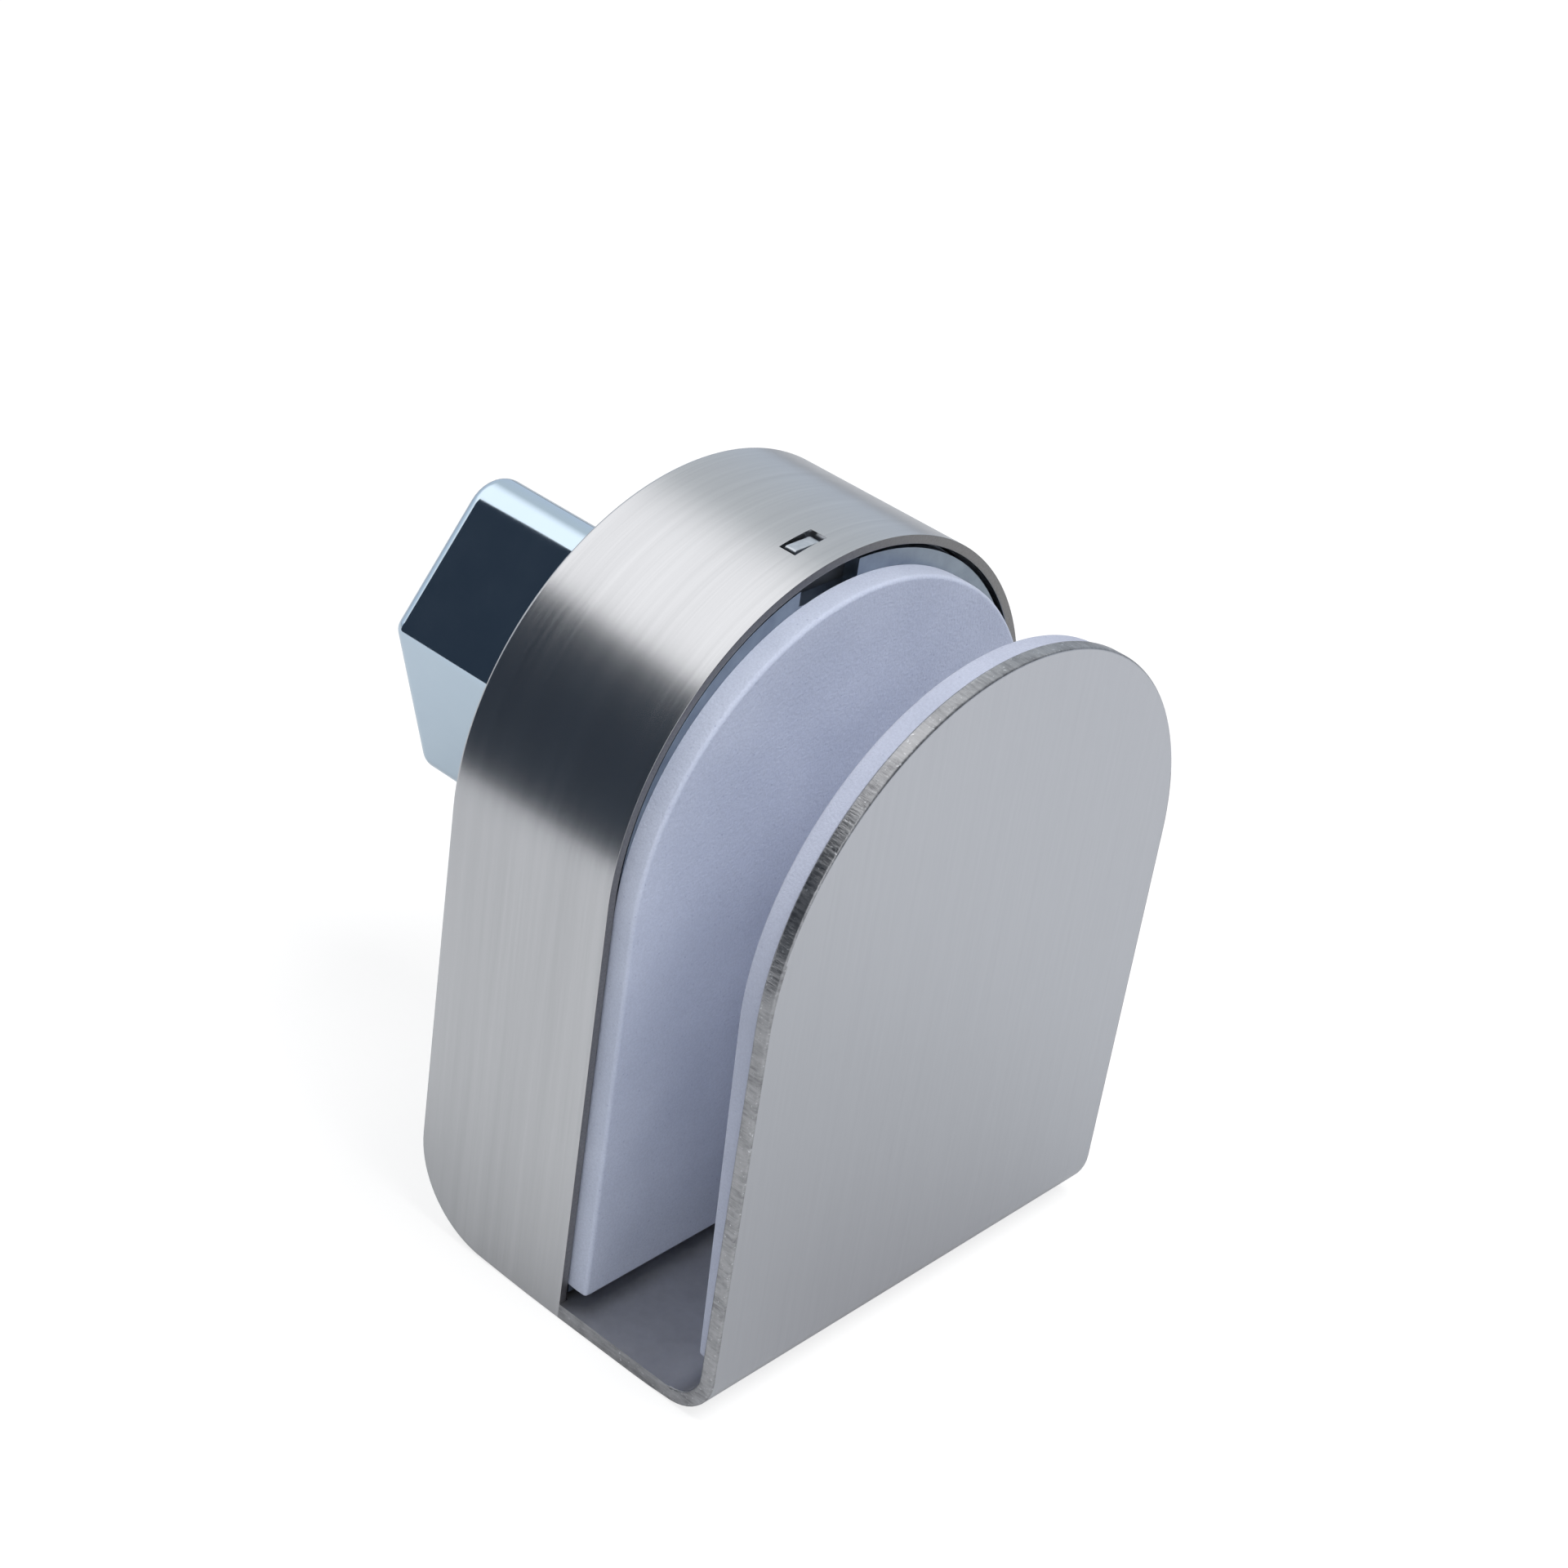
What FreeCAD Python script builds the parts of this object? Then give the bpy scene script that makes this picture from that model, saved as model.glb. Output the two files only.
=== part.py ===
import FreeCAD, Part
import math
import os

# Glass door floor lock. X runs along the door, Y through the glass from the front plate to the
# knob, Z up. The origin is on the flat underside, midway between front plate and cover.

doc = FreeCAD.newDocument("glass_door_floor_lock")
sheet = doc.addObject("Spreadsheet::Sheet", "Sizes")

sizes = [
    ("plate_width", 52.0, "width of front plate, web and cover"),
    ("plate_height", 68.0, "height of the front plate"),
    ("plate_sheet", 1.5, "thickness of the folded sheet"),
    ("front_bend", 3.5, "inner bend radius under the front plate"),
    ("leg_bend", 1.5, "inner bend radius under the inner leg"),
    ("glass_room", 17.0, "front plate inner face to cover rim"),
    ("cover_height", 70.0, "height of the cover"),
    ("cover_depth", 19.0, "depth of the cover"),
    ("cover_wall", 0.9, "wall of the cover"),
    ("cover_corner", 9.0, "outer radius of the lower back corner"),
    ("cover_edge", 0.7, "rounding round the back face"),
    ("side_play", 0.2, "cover wall to inner leg"),
    ("leg_setback", 2.95, "cover rim to front face of the inner leg"),
    ("tab_width", 3.2, "width of the snap tab"),
    ("tab_side", 3.4, "snap tab centre, left of the middle"),
    ("tab_depth", 1.2, "thickness of the snap tab"),
    ("tab_rise", 0.45, "snap tab end below the top of the cover"),
    ("slot_play", 0.3, "play round the snap tab in its slot"),
    ("notch_width", 7.0, "width of the notch in the pressure plate"),
    ("notch_depth", 2.4, "depth of the notch in the pressure plate"),
    ("press_sheet", 1.5, "thickness of the pressure plate"),
    ("press_inset", 0.3, "pressure plate front behind the cover rim"),
    ("press_play", 0.4, "pressure plate to cover wall"),
    ("press_foot", 0.5, "pressure plate above the web"),
    ("front_pad_thick", 2.1, "front pad"),
    ("front_pad_inset", 0.5, "front plate edge to pad edge"),
    ("front_pad_foot", 6.2, "underside to lower edge of front pad"),
    ("back_pad_thick", 2.3, "back pad"),
    ("back_pad_inset", 0.2, "pressure plate edge to pad edge"),
    ("back_pad_foot", 0.4, "pressure plate lower edge to pad lower edge"),
    ("back_pad_drop", 1.4, "arch centre of the cover to that of the back pad"),
    ("pad_edge", 0.5, "rounding round the pads"),
    ("knob_drop", 24.0, "top of the cover to the spindle axis"),
    ("knob_length", 24.1, "knob depth"),
    ("knob_tip", 13.7, "spindle axis to the point where the upper facets would meet"),
    ("knob_tip_round", 3.7, "rounding of the tip"),
    ("knob_half", 11.1, "half width of the knob at its shoulders"),
    ("knob_shoulder", 0.9, "spindle axis to the shoulders"),
    ("knob_shoulder_round", 0.6, "rounding of the shoulders"),
    ("knob_foot", 17.9, "spindle axis to the foot of the knob"),
    ("knob_foot_half", 5.9, "half width where the lower facets would meet the foot"),
    ("knob_foot_round", 2.5, "rounding of the foot corners"),
    ("knob_rim", 0.7, "rounding round the outer face of the knob"),
    ("knob_bore_depth", 16.0, "depth of the spindle bore in the knob"),
    ("knob_wall", 2.2, "walls of the knob"),
    ("knob_boss", 5.6, "boss round the spindle bore"),
    ("knob_play", 0.2, "friction washer to knob"),
    ("washer_thick", 0.5, "friction washer"),
    ("washer_radius", 8.0, "friction washer outer radius"),
    ("grub_radius", 2.0, "grub screw of the knob"),
    ("grub_length", 5.0, "length of the grub screw"),
    ("spindle_radius", 3.0, "spindle"),
    ("nose_radius", 2.4, "front journal of the spindle"),
    ("run_play", 0.05, "radial running clearance"),
    ("hole_play", 0.8, "spindle to the hole in the cover"),
    ("gear_module", 0.8, "module of pinion and rack"),
    ("gear_teeth", 13.0, "teeth of the pinion"),
    ("gear_angle", 25.0, "pressure angle"),
    ("gear_backlash", 0.14, "play between the teeth on the pitch line"),
    ("gear_width", 6.0, "face width of the pinion"),
    ("gear_setback", 2.45, "inner leg to pinion teeth"),
    ("hub_radius", 4.1, "hub of the pinion"),
    ("hub_play", 0.3, "hub to inner leg"),
    ("throw_margin", 4.4, "cover height less this is four times the travel of the bolt"),
    ("bolt_radius", 5.0, "bolt"),
    ("bolt_setback", 5.35, "inner leg to bolt axis"),
    ("bolt_tip", 1.2, "underside to bolt tip when drawn in"),
    ("bolt_chamfer", 0.8, "chamfer on the bolt tip"),
    ("bolt_flat", 3.2, "bolt axis to the flat that carries the rack"),
    ("bolt_top_play", 0.5, "bolt top to pinion"),
    ("rack_back", 4.0, "rack body behind its teeth"),
    ("rack_thick", 5.0, "rack thickness"),
    ("rack_spare", 2.3, "teeth beyond the mesh at each end"),
    ("rack_foot_play", 0.6, "rack foot above the bolt guide, bolt shot"),
    ("rack_seat", 10.5, "length of the rack foot on the bolt"),
    ("guide_foot", 1.6, "underside to bolt guide"),
    ("guide_half", 10.5, "half width of the bolt guide"),
    ("guide_depth", 11.4, "depth of the bolt guide"),
    ("guide_slope_run", 4.5, "sloped lower back edge of the guide, along Y"),
    ("guide_slope_rise", 3.9, "the same edge, along Z"),
    ("slide_play", 0.15, "play of the rack in its guide"),
    ("keeper_drop", 6.0, "spindle axis to the lower end of the rack guide"),
    ("keeper_tall", 12.0, "height of the rack guide"),
    ("keeper_depth", 10.1, "depth of the rack guide"),
    ("keeper_back", 4.2, "rack guide behind the rack"),
    ("keeper_lip", 3.3, "lips of the rack guide over the rack"),
    ("pillar_radius", 2.6, "pillar"),
    ("pillar_side", 13.2, "pillar axis from the middle"),
    ("pillar_drop", 10.5, "lower pillars below the spindle axis"),
    ("pillar_rise", 11.0, "upper pillars above the spindle axis"),
    ("pillar_length", 10.65, "inner leg to bearing plate"),
    ("rivet_radius", 1.5, "riveted end of a pillar"),
    ("bearing_sheet", 1.8, "bearing plate"),
    ("bearing_rim", 3.6, "pillar axis to edge of bearing plate"),
    ("bush_wall", 1.8, "wall of the spindle bush"),
    ("screw_radius", 1.5, "small screws"),
    ("screw_length", 7.5, "guide screws"),
    ("screw_head", 2.8, "head radius of the small screws"),
    ("head_height", 0.9, "head height of the plate screws"),
    ("plate_screw_length", 6.0, "plate screws under the head"),
    ("rack_screw_radius", 1.25, "rack screws"),
    ("rack_screw_head", 2.3, "rack screw heads"),
    ("rack_screw_low", 3.0, "rack foot to lower rack screw"),
    ("rack_screw_step", 4.6, "between the rack screws"),
    ("rack_screw_length", 9.0, "rack screws with head"),
    ("guide_screw_side", 7.9, "guide screw from the middle"),
    ("keeper_screw_edge", 2.1, "rack guide edge to screw axis, along X"),
    ("keeper_screw_end", 3.0, "rack guide end to screw axis, along Z"),
    ("clamp_radius", 2.0, "clamp screws"),
    ("clamp_length", 8.0, "clamp screws"),
    ("clamp_edge", 4.2, "edge of the inner leg to the clamp screws"),
    ("clamp_low", 24.0, "lower clamp screws"),
    ("clamp_rise", 4.0, "upper clamp screws above the centre of the arch"),
    ("clamp_socket", 1.0, "hexagon socket, half across flats"),
    ("clamp_socket_depth", 2.5, "depth of the hexagon socket"),
    ("nut_radius", 2.9, "threaded bush in the leg"),
    ("nut_flange", 3.4, "flange of the threaded bush"),
    ("nut_length", 3.6, "threaded bush behind the leg"),
    ("nut_flange_thick", 1.0, "flange thickness"),
    ("stud_radius", 2.0, "guide studs of the pressure plate"),
    ("stud_length", 7.0, "guide studs"),
    ("stud_edge", 4.1, "edge of the inner leg to the guide studs"),
]


class Size:
    # A length that knows its number and the words that give it in the sheet.
    def __init__(self, words, number):
        self.words = words
        self.number = number

    def pair(self, other, sign, number):
        return Size("(%s %s %s)" % (self.words, sign, other.words), number)

    def __add__(self, other):
        other = size_of(other)
        return self.pair(other, "+", self.number + other.number)

    def __sub__(self, other):
        other = size_of(other)
        return self.pair(other, "-", self.number - other.number)

    def __mul__(self, other):
        other = size_of(other)
        return self.pair(other, "*", self.number * other.number)

    def __truediv__(self, other):
        other = size_of(other)
        return self.pair(other, "/", self.number / other.number)

    def __neg__(self):
        return Size("(0 - %s)" % self.words, -self.number)


def size_of(value):
    if isinstance(value, Size):
        return value
    return Size("%r" % float(value), float(value))


def root_of(value):
    return Size("sqrt(%s)" % value.words, math.sqrt(value.number))


def tangent_of(angle):
    return Size("tan(%s * 1deg)" % angle.words, math.tan(math.radians(angle.number)))


for row, (alias, number, note) in enumerate(sizes, start=1):
    sheet.set("A%d" % row, note)
    sheet.set("B%d" % row, str(number))
    sheet.setAlias("B%d" % row, alias)
doc.recompute()

S = {}
for alias, number, note in sizes:
    S[alias] = Size("Sizes." + alias, float(sheet.get(alias)))

zero = size_of(0)
finished = []


def bind(thing, path, value):
    thing.setExpression(path, size_of(value).words)


def new_body(name):
    body = doc.addObject("PartDesign::Body", name)
    body.Label = name
    return body


def new_sketch(body, name, role, offset):
    # offset is where the sketch lies along +Y (XZ_Plane), +Z (XY_Plane) or +X (YZ_Plane)
    sketch = body.newObject("Sketcher::SketchObject", name)
    for feature in body.Origin.OriginFeatures:
        if feature.Role == role:
            sketch.AttachmentSupport = [(feature, "")]
    sketch.MapMode = "FlatFace"
    offset = size_of(offset)
    if role == "XZ_Plane":
        offset = -offset
    sketch.AttachmentOffset = FreeCAD.Placement(FreeCAD.Vector(0, 0, offset.number), FreeCAD.Rotation())
    bind(sketch, "AttachmentOffset.Base.z", offset)
    return sketch


def vec(x, y):
    return FreeCAD.Vector(x.number, y.number, 0)


def fix(sketch, kind, reference, value):
    index = sketch.addConstraint(Sketcher_constraint(kind, *reference, value.number))
    sketch.setExpression("Constraints[%d]" % index, value.words)


def Sketcher_constraint(*parts):
    import Sketcher
    return Sketcher.Constraint(*parts)


def path(sketch, corners):
    # Closed outline. Each corner is (x, y) or (x, y, centre x, centre y, radius, turn) where an arc
    # leads on to the next corner, turn being +1 for anticlockwise.
    count = len(corners)
    firsts = []
    for i in range(count):
        a = corners[i]
        b = corners[(i + 1) % count]
        if len(a) == 2:
            index = sketch.addGeometry(Part.LineSegment(vec(a[0], a[1]), vec(b[0], b[1])), False)
            firsts.append((index, 1, 2))
        else:
            centre = vec(a[2], a[3])
            start = vec(a[0], a[1]) - centre
            end = vec(b[0], b[1]) - centre
            angle_a = math.atan2(start.y, start.x)
            angle_b = math.atan2(end.y, end.x)
            circle = Part.Circle(centre, FreeCAD.Vector(0, 0, 1), a[4].number)
            if a[5] > 0:
                if angle_b < angle_a:
                    angle_b += 2 * math.pi
                index = sketch.addGeometry(Part.ArcOfCircle(circle, angle_a, angle_b), False)
                firsts.append((index, 1, 2))
            else:
                if angle_a < angle_b:
                    angle_a += 2 * math.pi
                index = sketch.addGeometry(Part.ArcOfCircle(circle, angle_b, angle_a), False)
                firsts.append((index, 2, 1))
            fix(sketch, "Radius", (index,), a[4])
    for i in range(count):
        here = firsts[i]
        before = firsts[i - 1]
        sketch.addConstraint(Sketcher_constraint("Coincident", before[0], before[2], here[0], here[1]))
        fix(sketch, "DistanceX", (-1, 1, here[0], here[1]), corners[i][0])
        fix(sketch, "DistanceY", (-1, 1, here[0], here[1]), corners[i][1])


def box_path(sketch, x0, x1, y0, y1):
    path(sketch, [(x0, y0), (x1, y0), (x1, y1), (x0, y1)])


def arch_path(sketch, half, low, centre):
    # Upright with a half-round top: sides at plus and minus half, arch centre at the given height
    path(sketch, [(-half, low), (half, low), (half, centre, zero, centre, half, 1),
                  (zero, centre + half, zero, centre, half, 1), (-half, centre)])


def ring(sketch, x, y, radius):
    index = sketch.addGeometry(Part.Circle(vec(x, y), FreeCAD.Vector(0, 0, 1), radius.number), False)
    fix(sketch, "Radius", (index,), radius)
    fix(sketch, "DistanceX", (-1, 1, index, 3), x)
    fix(sketch, "DistanceY", (-1, 1, index, 3), y)


def pad(body, sketch, length, reverse=False, midplane=False):
    feature = body.newObject("PartDesign::Pad", sketch.Name + "_pad")
    feature.Profile = sketch
    feature.Type = 0
    bind(feature, "Length", length)
    feature.Midplane = midplane
    feature.Reversed = reverse
    sketch.Visibility = False
    return feature


def pocket(body, sketch, length, reverse=False, midplane=False):
    feature = body.newObject("PartDesign::Pocket", sketch.Name + "_cut")
    feature.Profile = sketch
    feature.Type = 0
    bind(feature, "Length", length)
    feature.Midplane = midplane
    feature.Reversed = reverse
    return feature


def turn(body, sketch):
    feature = body.newObject("PartDesign::Revolution", sketch.Name + "_turned")
    feature.Profile = sketch
    feature.ReferenceAxis = (sketch, ["H_Axis"])
    feature.Angle = 360
    return feature


def round_edges(body, base, radius, wanted):
    names = []
    for i, edge in enumerate(base.Shape.Edges, start=1):
        if wanted(edge):
            names.append("Edge%d" % i)
    feature = body.newObject("PartDesign::Fillet", base.Name + "_round")
    feature.Base = (base, names)
    bind(feature, "Radius", radius)
    body.Tip = feature
    return feature


def place(thing, x=zero, y=zero, z=zero, rotation=None):
    if rotation is not None:
        thing.Placement = FreeCAD.Placement(FreeCAD.Vector(0, 0, 0), rotation)
    bind(thing, "Placement.Base.x", x)
    bind(thing, "Placement.Base.y", y)
    bind(thing, "Placement.Base.z", z)


def done(thing):
    finished.append(thing)
    return thing


def turned_body(name, corners, x, z):
    # A turned piece with its axis along Y through (x, z). Corners are (y, radius).
    body = new_body(name)
    sketch = new_sketch(body, name + "_profile", "YZ_Plane", 0)
    path(sketch, corners)
    turn(body, sketch)
    place(body, x, zero, z)
    return body


def group(name, members):
    compound = doc.addObject("Part::Compound", name)
    compound.Label = name
    compound.Links = members
    return compound


# Stations along Y and Z
half = S["plate_width"] / 2
rim = S["glass_room"] / 2
front_in = -rim
front = front_in - S["plate_sheet"]
back = rim + S["cover_depth"]
plate_arch = S["plate_height"] - half
cover_arch = S["cover_height"] - half
inner_half = half - S["cover_wall"]
leg_half = inner_half - S["side_play"]
leg_front = rim + S["leg_setback"]
leg_back = leg_front + S["plate_sheet"]
bend_out = S["front_bend"] + S["plate_sheet"]
leg_bend_out = S["leg_bend"] + S["plate_sheet"]
axis_z = S["cover_height"] - S["knob_drop"]
throw = (S["cover_height"] - S["throw_margin"]) / 4
pitch_radius = S["gear_module"] * S["gear_teeth"] / 2
tip_radius = pitch_radius + S["gear_module"]
teeth_front = leg_back + S["gear_setback"]
teeth_back = teeth_front + S["gear_width"]
bearing_front = leg_back + S["pillar_length"]
bearing_back = bearing_front + S["bearing_sheet"]
washer_back = back + S["washer_thick"]
knob_front = washer_back + S["knob_play"]
knob_back = knob_front + S["knob_length"]
spindle_end = knob_front + S["knob_bore_depth"]
press_front = rim + S["press_inset"]
press_back = press_front + S["press_sheet"]
press_half = inner_half - S["press_play"]
press_low = S["plate_sheet"] + S["press_foot"]

clamp_side = leg_half - S["clamp_edge"]
clamp_high = cover_arch + S["clamp_rise"]
clamp_spots = [(-clamp_side, S["clamp_low"]), (clamp_side, S["clamp_low"]),
               (-clamp_side, clamp_high), (clamp_side, clamp_high)]
stud_side = leg_half - S["stud_edge"]
stud_height = (S["clamp_low"] + clamp_high) / 2
stud_spots = [(-stud_side, stud_height), (stud_side, stud_height)]
pillar_low = axis_z - S["pillar_drop"]
pillar_high = axis_z + S["pillar_rise"]
pillar_spots = [(-S["pillar_side"], pillar_low), (S["pillar_side"], pillar_low),
                (-S["pillar_side"], pillar_high), (S["pillar_side"], pillar_high)]

rack_pitch_x = -pitch_radius
rack_root_x = rack_pitch_x - S["gear_module"] * 1.25
rack_tip_x = rack_pitch_x + S["gear_module"]
rack_back_x = rack_root_x - S["rack_back"]
keeper_inner_x = rack_back_x - S["slide_play"]
keeper_outer_x = keeper_inner_x - S["keeper_back"]
keeper_lip_x = rack_back_x + S["keeper_lip"]
keeper_screw_x = keeper_outer_x + S["keeper_screw_edge"]
bolt_top = axis_z - tip_radius - S["bolt_top_play"]
rack_foot = bolt_top - S["rack_seat"]
guide_top = rack_foot - S["rack_foot_play"] - throw
guide_height = guide_top - S["guide_foot"]
guide_screw_height = S["guide_foot"] + guide_height / 2
rack_top = axis_z + throw + S["rack_spare"]
keeper_low = axis_z - S["keeper_drop"]
bolt_y = leg_back + S["bolt_setback"]
rack_front = teeth_front + S["gear_width"] / 2 - S["rack_thick"] / 2
rack_rear = rack_front + S["rack_thick"]
guide_screw_spots = [(-S["guide_screw_side"], guide_screw_height),
                     (S["guide_screw_side"], guide_screw_height),
                     (keeper_screw_x, keeper_low + S["keeper_screw_end"]),
                     (keeper_screw_x, keeper_low + S["keeper_tall"] - S["keeper_screw_end"])]

# Clamp bracket: one sheet folded to a U, with front plate, web and inner leg
body = new_body("clamp_bracket")
sketch = new_sketch(body, "front_plate", "XZ_Plane", front)
arch_path(sketch, half, bend_out, plate_arch)
pad(body, sketch, S["plate_sheet"], reverse=True)
sketch = new_sketch(body, "web", "YZ_Plane", zero)
bend_y = front + bend_out
path(sketch, [(front, bend_out, bend_y, bend_out, bend_out, 1), (bend_y, zero), (rim, zero),
              (rim, S["plate_sheet"]), (bend_y, S["plate_sheet"], bend_y, bend_out, S["front_bend"], -1),
              (front_in, bend_out)])
pad(body, sketch, S["plate_width"], midplane=True)
sketch = new_sketch(body, "web_inside", "YZ_Plane", zero)
path(sketch, [(rim, zero), (leg_back - leg_bend_out, zero, leg_back - leg_bend_out, leg_bend_out, leg_bend_out, 1),
              (leg_back, leg_bend_out), (leg_front, leg_bend_out, leg_front - S["leg_bend"], leg_bend_out, S["leg_bend"], -1),
              (leg_front - S["leg_bend"], S["plate_sheet"]), (rim, S["plate_sheet"])])
pad(body, sketch, leg_half * 2, midplane=True)
sketch = new_sketch(body, "inner_leg", "XZ_Plane", leg_front)
arch_path(sketch, leg_half, leg_bend_out, cover_arch)
pad(body, sketch, S["plate_sheet"], reverse=True)
tab_left = -S["tab_side"] - S["tab_width"] / 2
tab_right = -S["tab_side"] + S["tab_width"] / 2
tab_front = leg_front + S["plate_sheet"] / 2 - S["tab_depth"] / 2
sketch = new_sketch(body, "snap_tab", "XZ_Plane", tab_front)
box_path(sketch, tab_left, tab_right, S["cover_height"] - S["cover_wall"] * 4, S["cover_height"] - S["tab_rise"])
pad(body, sketch, S["tab_depth"], reverse=True)
sketch = new_sketch(body, "leg_holes", "XZ_Plane", leg_front)
ring(sketch, zero, axis_z, S["nose_radius"] + S["run_play"])
for x, z in clamp_spots:
    ring(sketch, x, z, S["nut_radius"])
for x, z in stud_spots:
    ring(sketch, x, z, S["stud_radius"] + S["run_play"])
for x, z in pillar_spots:
    ring(sketch, x, z, S["rivet_radius"])
pocket(body, sketch, S["plate_sheet"])
done(body)

# Countersunk holes for the guide screws, cut from the folded sheet
sinks = []
for i, (x, z) in enumerate(guide_screw_spots, start=1):
    sink = turned_body("guide_screw_hole_%d" % i, [
        (leg_front, zero), (leg_front, S["screw_head"]), (leg_back, S["screw_radius"]), (leg_back, zero)], x, z)
    sinks.append(sink)
doc.recompute()
bracket_raw = finished.pop()
bracket_raw.Label = "folded_sheet"
sink_group = doc.addObject("Part::MultiFuse", "guide_screw_holes")
sink_group.Shapes = sinks
bracket = doc.addObject("Part::Cut", "clamp_bracket_cut")
bracket.Base = bracket_raw
bracket.Tool = sink_group
bracket.Label = "clamp_bracket"
done(bracket)

# Cover: deep drawn shell with a round lower back corner, open at the rim and over the web
body = new_body("cover")
sketch = new_sketch(body, "cover_side", "YZ_Plane", zero)
path(sketch, [(rim, zero), (back - S["cover_corner"], zero, back - S["cover_corner"], S["cover_corner"], S["cover_corner"], 1),
              (back, S["cover_corner"]), (back, S["cover_height"]), (rim, S["cover_height"])])
pad(body, sketch, S["plate_width"], midplane=True)
sketch = new_sketch(body, "cover_outline", "XZ_Plane", rim)
arch_path(sketch, half, zero, cover_arch)
margin = S["cover_height"]
box_path(sketch, -half - margin, half + margin, -margin, S["cover_height"] + margin)
outline_cut = pocket(body, sketch, S["cover_depth"] * 2, midplane=False)
doc.recompute()
front_names = []
for i, face in enumerate(outline_cut.Shape.Faces, start=1):
    if abs(face.BoundBox.YMax - rim.number) < 0.001:
        front_names.append("Face%d" % i)
shell = body.newObject("PartDesign::Thickness", "cover_shell")
shell.Base = (outline_cut, front_names)
shell.Reversed = True
bind(shell, "Value", S["cover_wall"])
body.Tip = shell
doc.recompute()
rounded = round_edges(body, shell, S["cover_edge"], lambda edge: (
    abs(edge.BoundBox.YMin - back.number) < 0.001 and abs(edge.BoundBox.YMax - back.number) < 0.001
    and (edge.BoundBox.XMax > inner_half.number + 0.001 or edge.BoundBox.XMin < -inner_half.number - 0.001)
    and edge.BoundBox.ZMin > S["cover_corner"].number - 0.001))
doc.recompute()
sketch = new_sketch(body, "web_opening", "XZ_Plane", rim)
web_room = leg_back - rim + S["side_play"] * 2
box_path(sketch, -inner_half, inner_half, -S["cover_wall"], S["cover_wall"])
pocket(body, sketch, web_room)
sketch = new_sketch(body, "tab_slot", "XY_Plane", S["cover_height"])
slot_front = tab_front - S["slot_play"]
slot_back = tab_front + S["tab_depth"] + S["slot_play"]
box_path(sketch, tab_left - S["slot_play"], tab_right + S["slot_play"], slot_front, slot_back)
pocket(body, sketch, S["cover_wall"] * 4)
sketch = new_sketch(body, "spindle_hole", "XZ_Plane", back - S["cover_wall"] * 2)
ring(sketch, zero, axis_z, S["spindle_radius"] + S["hole_play"])
pocket(body, sketch, S["cover_wall"] * 4)
sketch = new_sketch(body, "bolt_hole", "XY_Plane", S["cover_corner"] / 2)
ring(sketch, zero, bolt_y, S["bolt_radius"] + S["hole_play"] / 2)
pocket(body, sketch, S["cover_corner"])
done(body)

# Pads
body = new_body("front_pad")
sketch = new_sketch(body, "front_pad_outline", "XZ_Plane", front_in)
arch_path(sketch, half - S["front_pad_inset"], S["front_pad_foot"], plate_arch)
raw = pad(body, sketch, S["front_pad_thick"], reverse=True)
doc.recompute()
front_pad_face = front_in + S["front_pad_thick"]
round_edges(body, raw, S["pad_edge"], lambda edge: abs(edge.BoundBox.YMin - front_pad_face.number) < 0.001)
done(body)

body = new_body("back_pad")
back_pad_face = press_front - S["back_pad_thick"]
sketch = new_sketch(body, "back_pad_outline", "XZ_Plane", back_pad_face)
arch_path(sketch, press_half - S["back_pad_inset"], press_low + S["back_pad_foot"], cover_arch - S["back_pad_drop"])
raw = pad(body, sketch, S["back_pad_thick"], reverse=True)
doc.recompute()
round_edges(body, raw, S["pad_edge"], lambda edge: abs(edge.BoundBox.YMax - back_pad_face.number) < 0.001)
done(body)

# Pressure plate with the notch in front of the snap tab, and the two studs that guide it
body = new_body("pressure_plate")
sketch = new_sketch(body, "press_outline", "XZ_Plane", press_front)
arch_path(sketch, press_half, press_low, cover_arch)
pad(body, sketch, S["press_sheet"], reverse=True)
sketch = new_sketch(body, "press_notch", "XZ_Plane", press_front)
press_top = cover_arch + press_half
box_path(sketch, -S["tab_side"] - S["notch_width"] / 2, -S["tab_side"] + S["notch_width"] / 2,
         press_top - S["notch_depth"], press_top + S["notch_depth"])
pocket(body, sketch, S["press_sheet"])
done(body)

members = []
for i, (x, z) in enumerate(stud_spots, start=1):
    members.append(turned_body("guide_stud_%d" % i, [
        (press_back, zero), (press_back + S["stud_length"], zero),
        (press_back + S["stud_length"], S["stud_radius"] * 0.8),
        (press_back + S["stud_length"] - S["stud_radius"] * 0.2, S["stud_radius"]),
        (press_back, S["stud_radius"])], x, z))
done(group("guide_studs", members))

# Clamp screws and their threaded bushes in the inner leg
clamp_end = press_back + S["clamp_length"]
members = []
for i, (x, z) in enumerate(clamp_spots, start=1):
    screw = turned_body("clamp_screw_%d" % i, [
        (press_back, zero), (clamp_end, zero), (clamp_end, S["clamp_radius"]), (press_back, S["clamp_radius"])], x, z)
    sketch = new_sketch(screw, "clamp_socket_%d" % i, "XZ_Plane", clamp_end - S["clamp_socket_depth"])
    flat = S["clamp_socket"]
    point = flat * 2 / root_of(size_of(3))
    path(sketch, [(point, zero), (point / 2, flat), (-point / 2, flat),
                  (-point, zero), (-point / 2, -flat), (point / 2, -flat)])
    pocket(screw, sketch, S["clamp_socket_depth"])
    members.append(screw)
done(group("clamp_screws", members))

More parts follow.
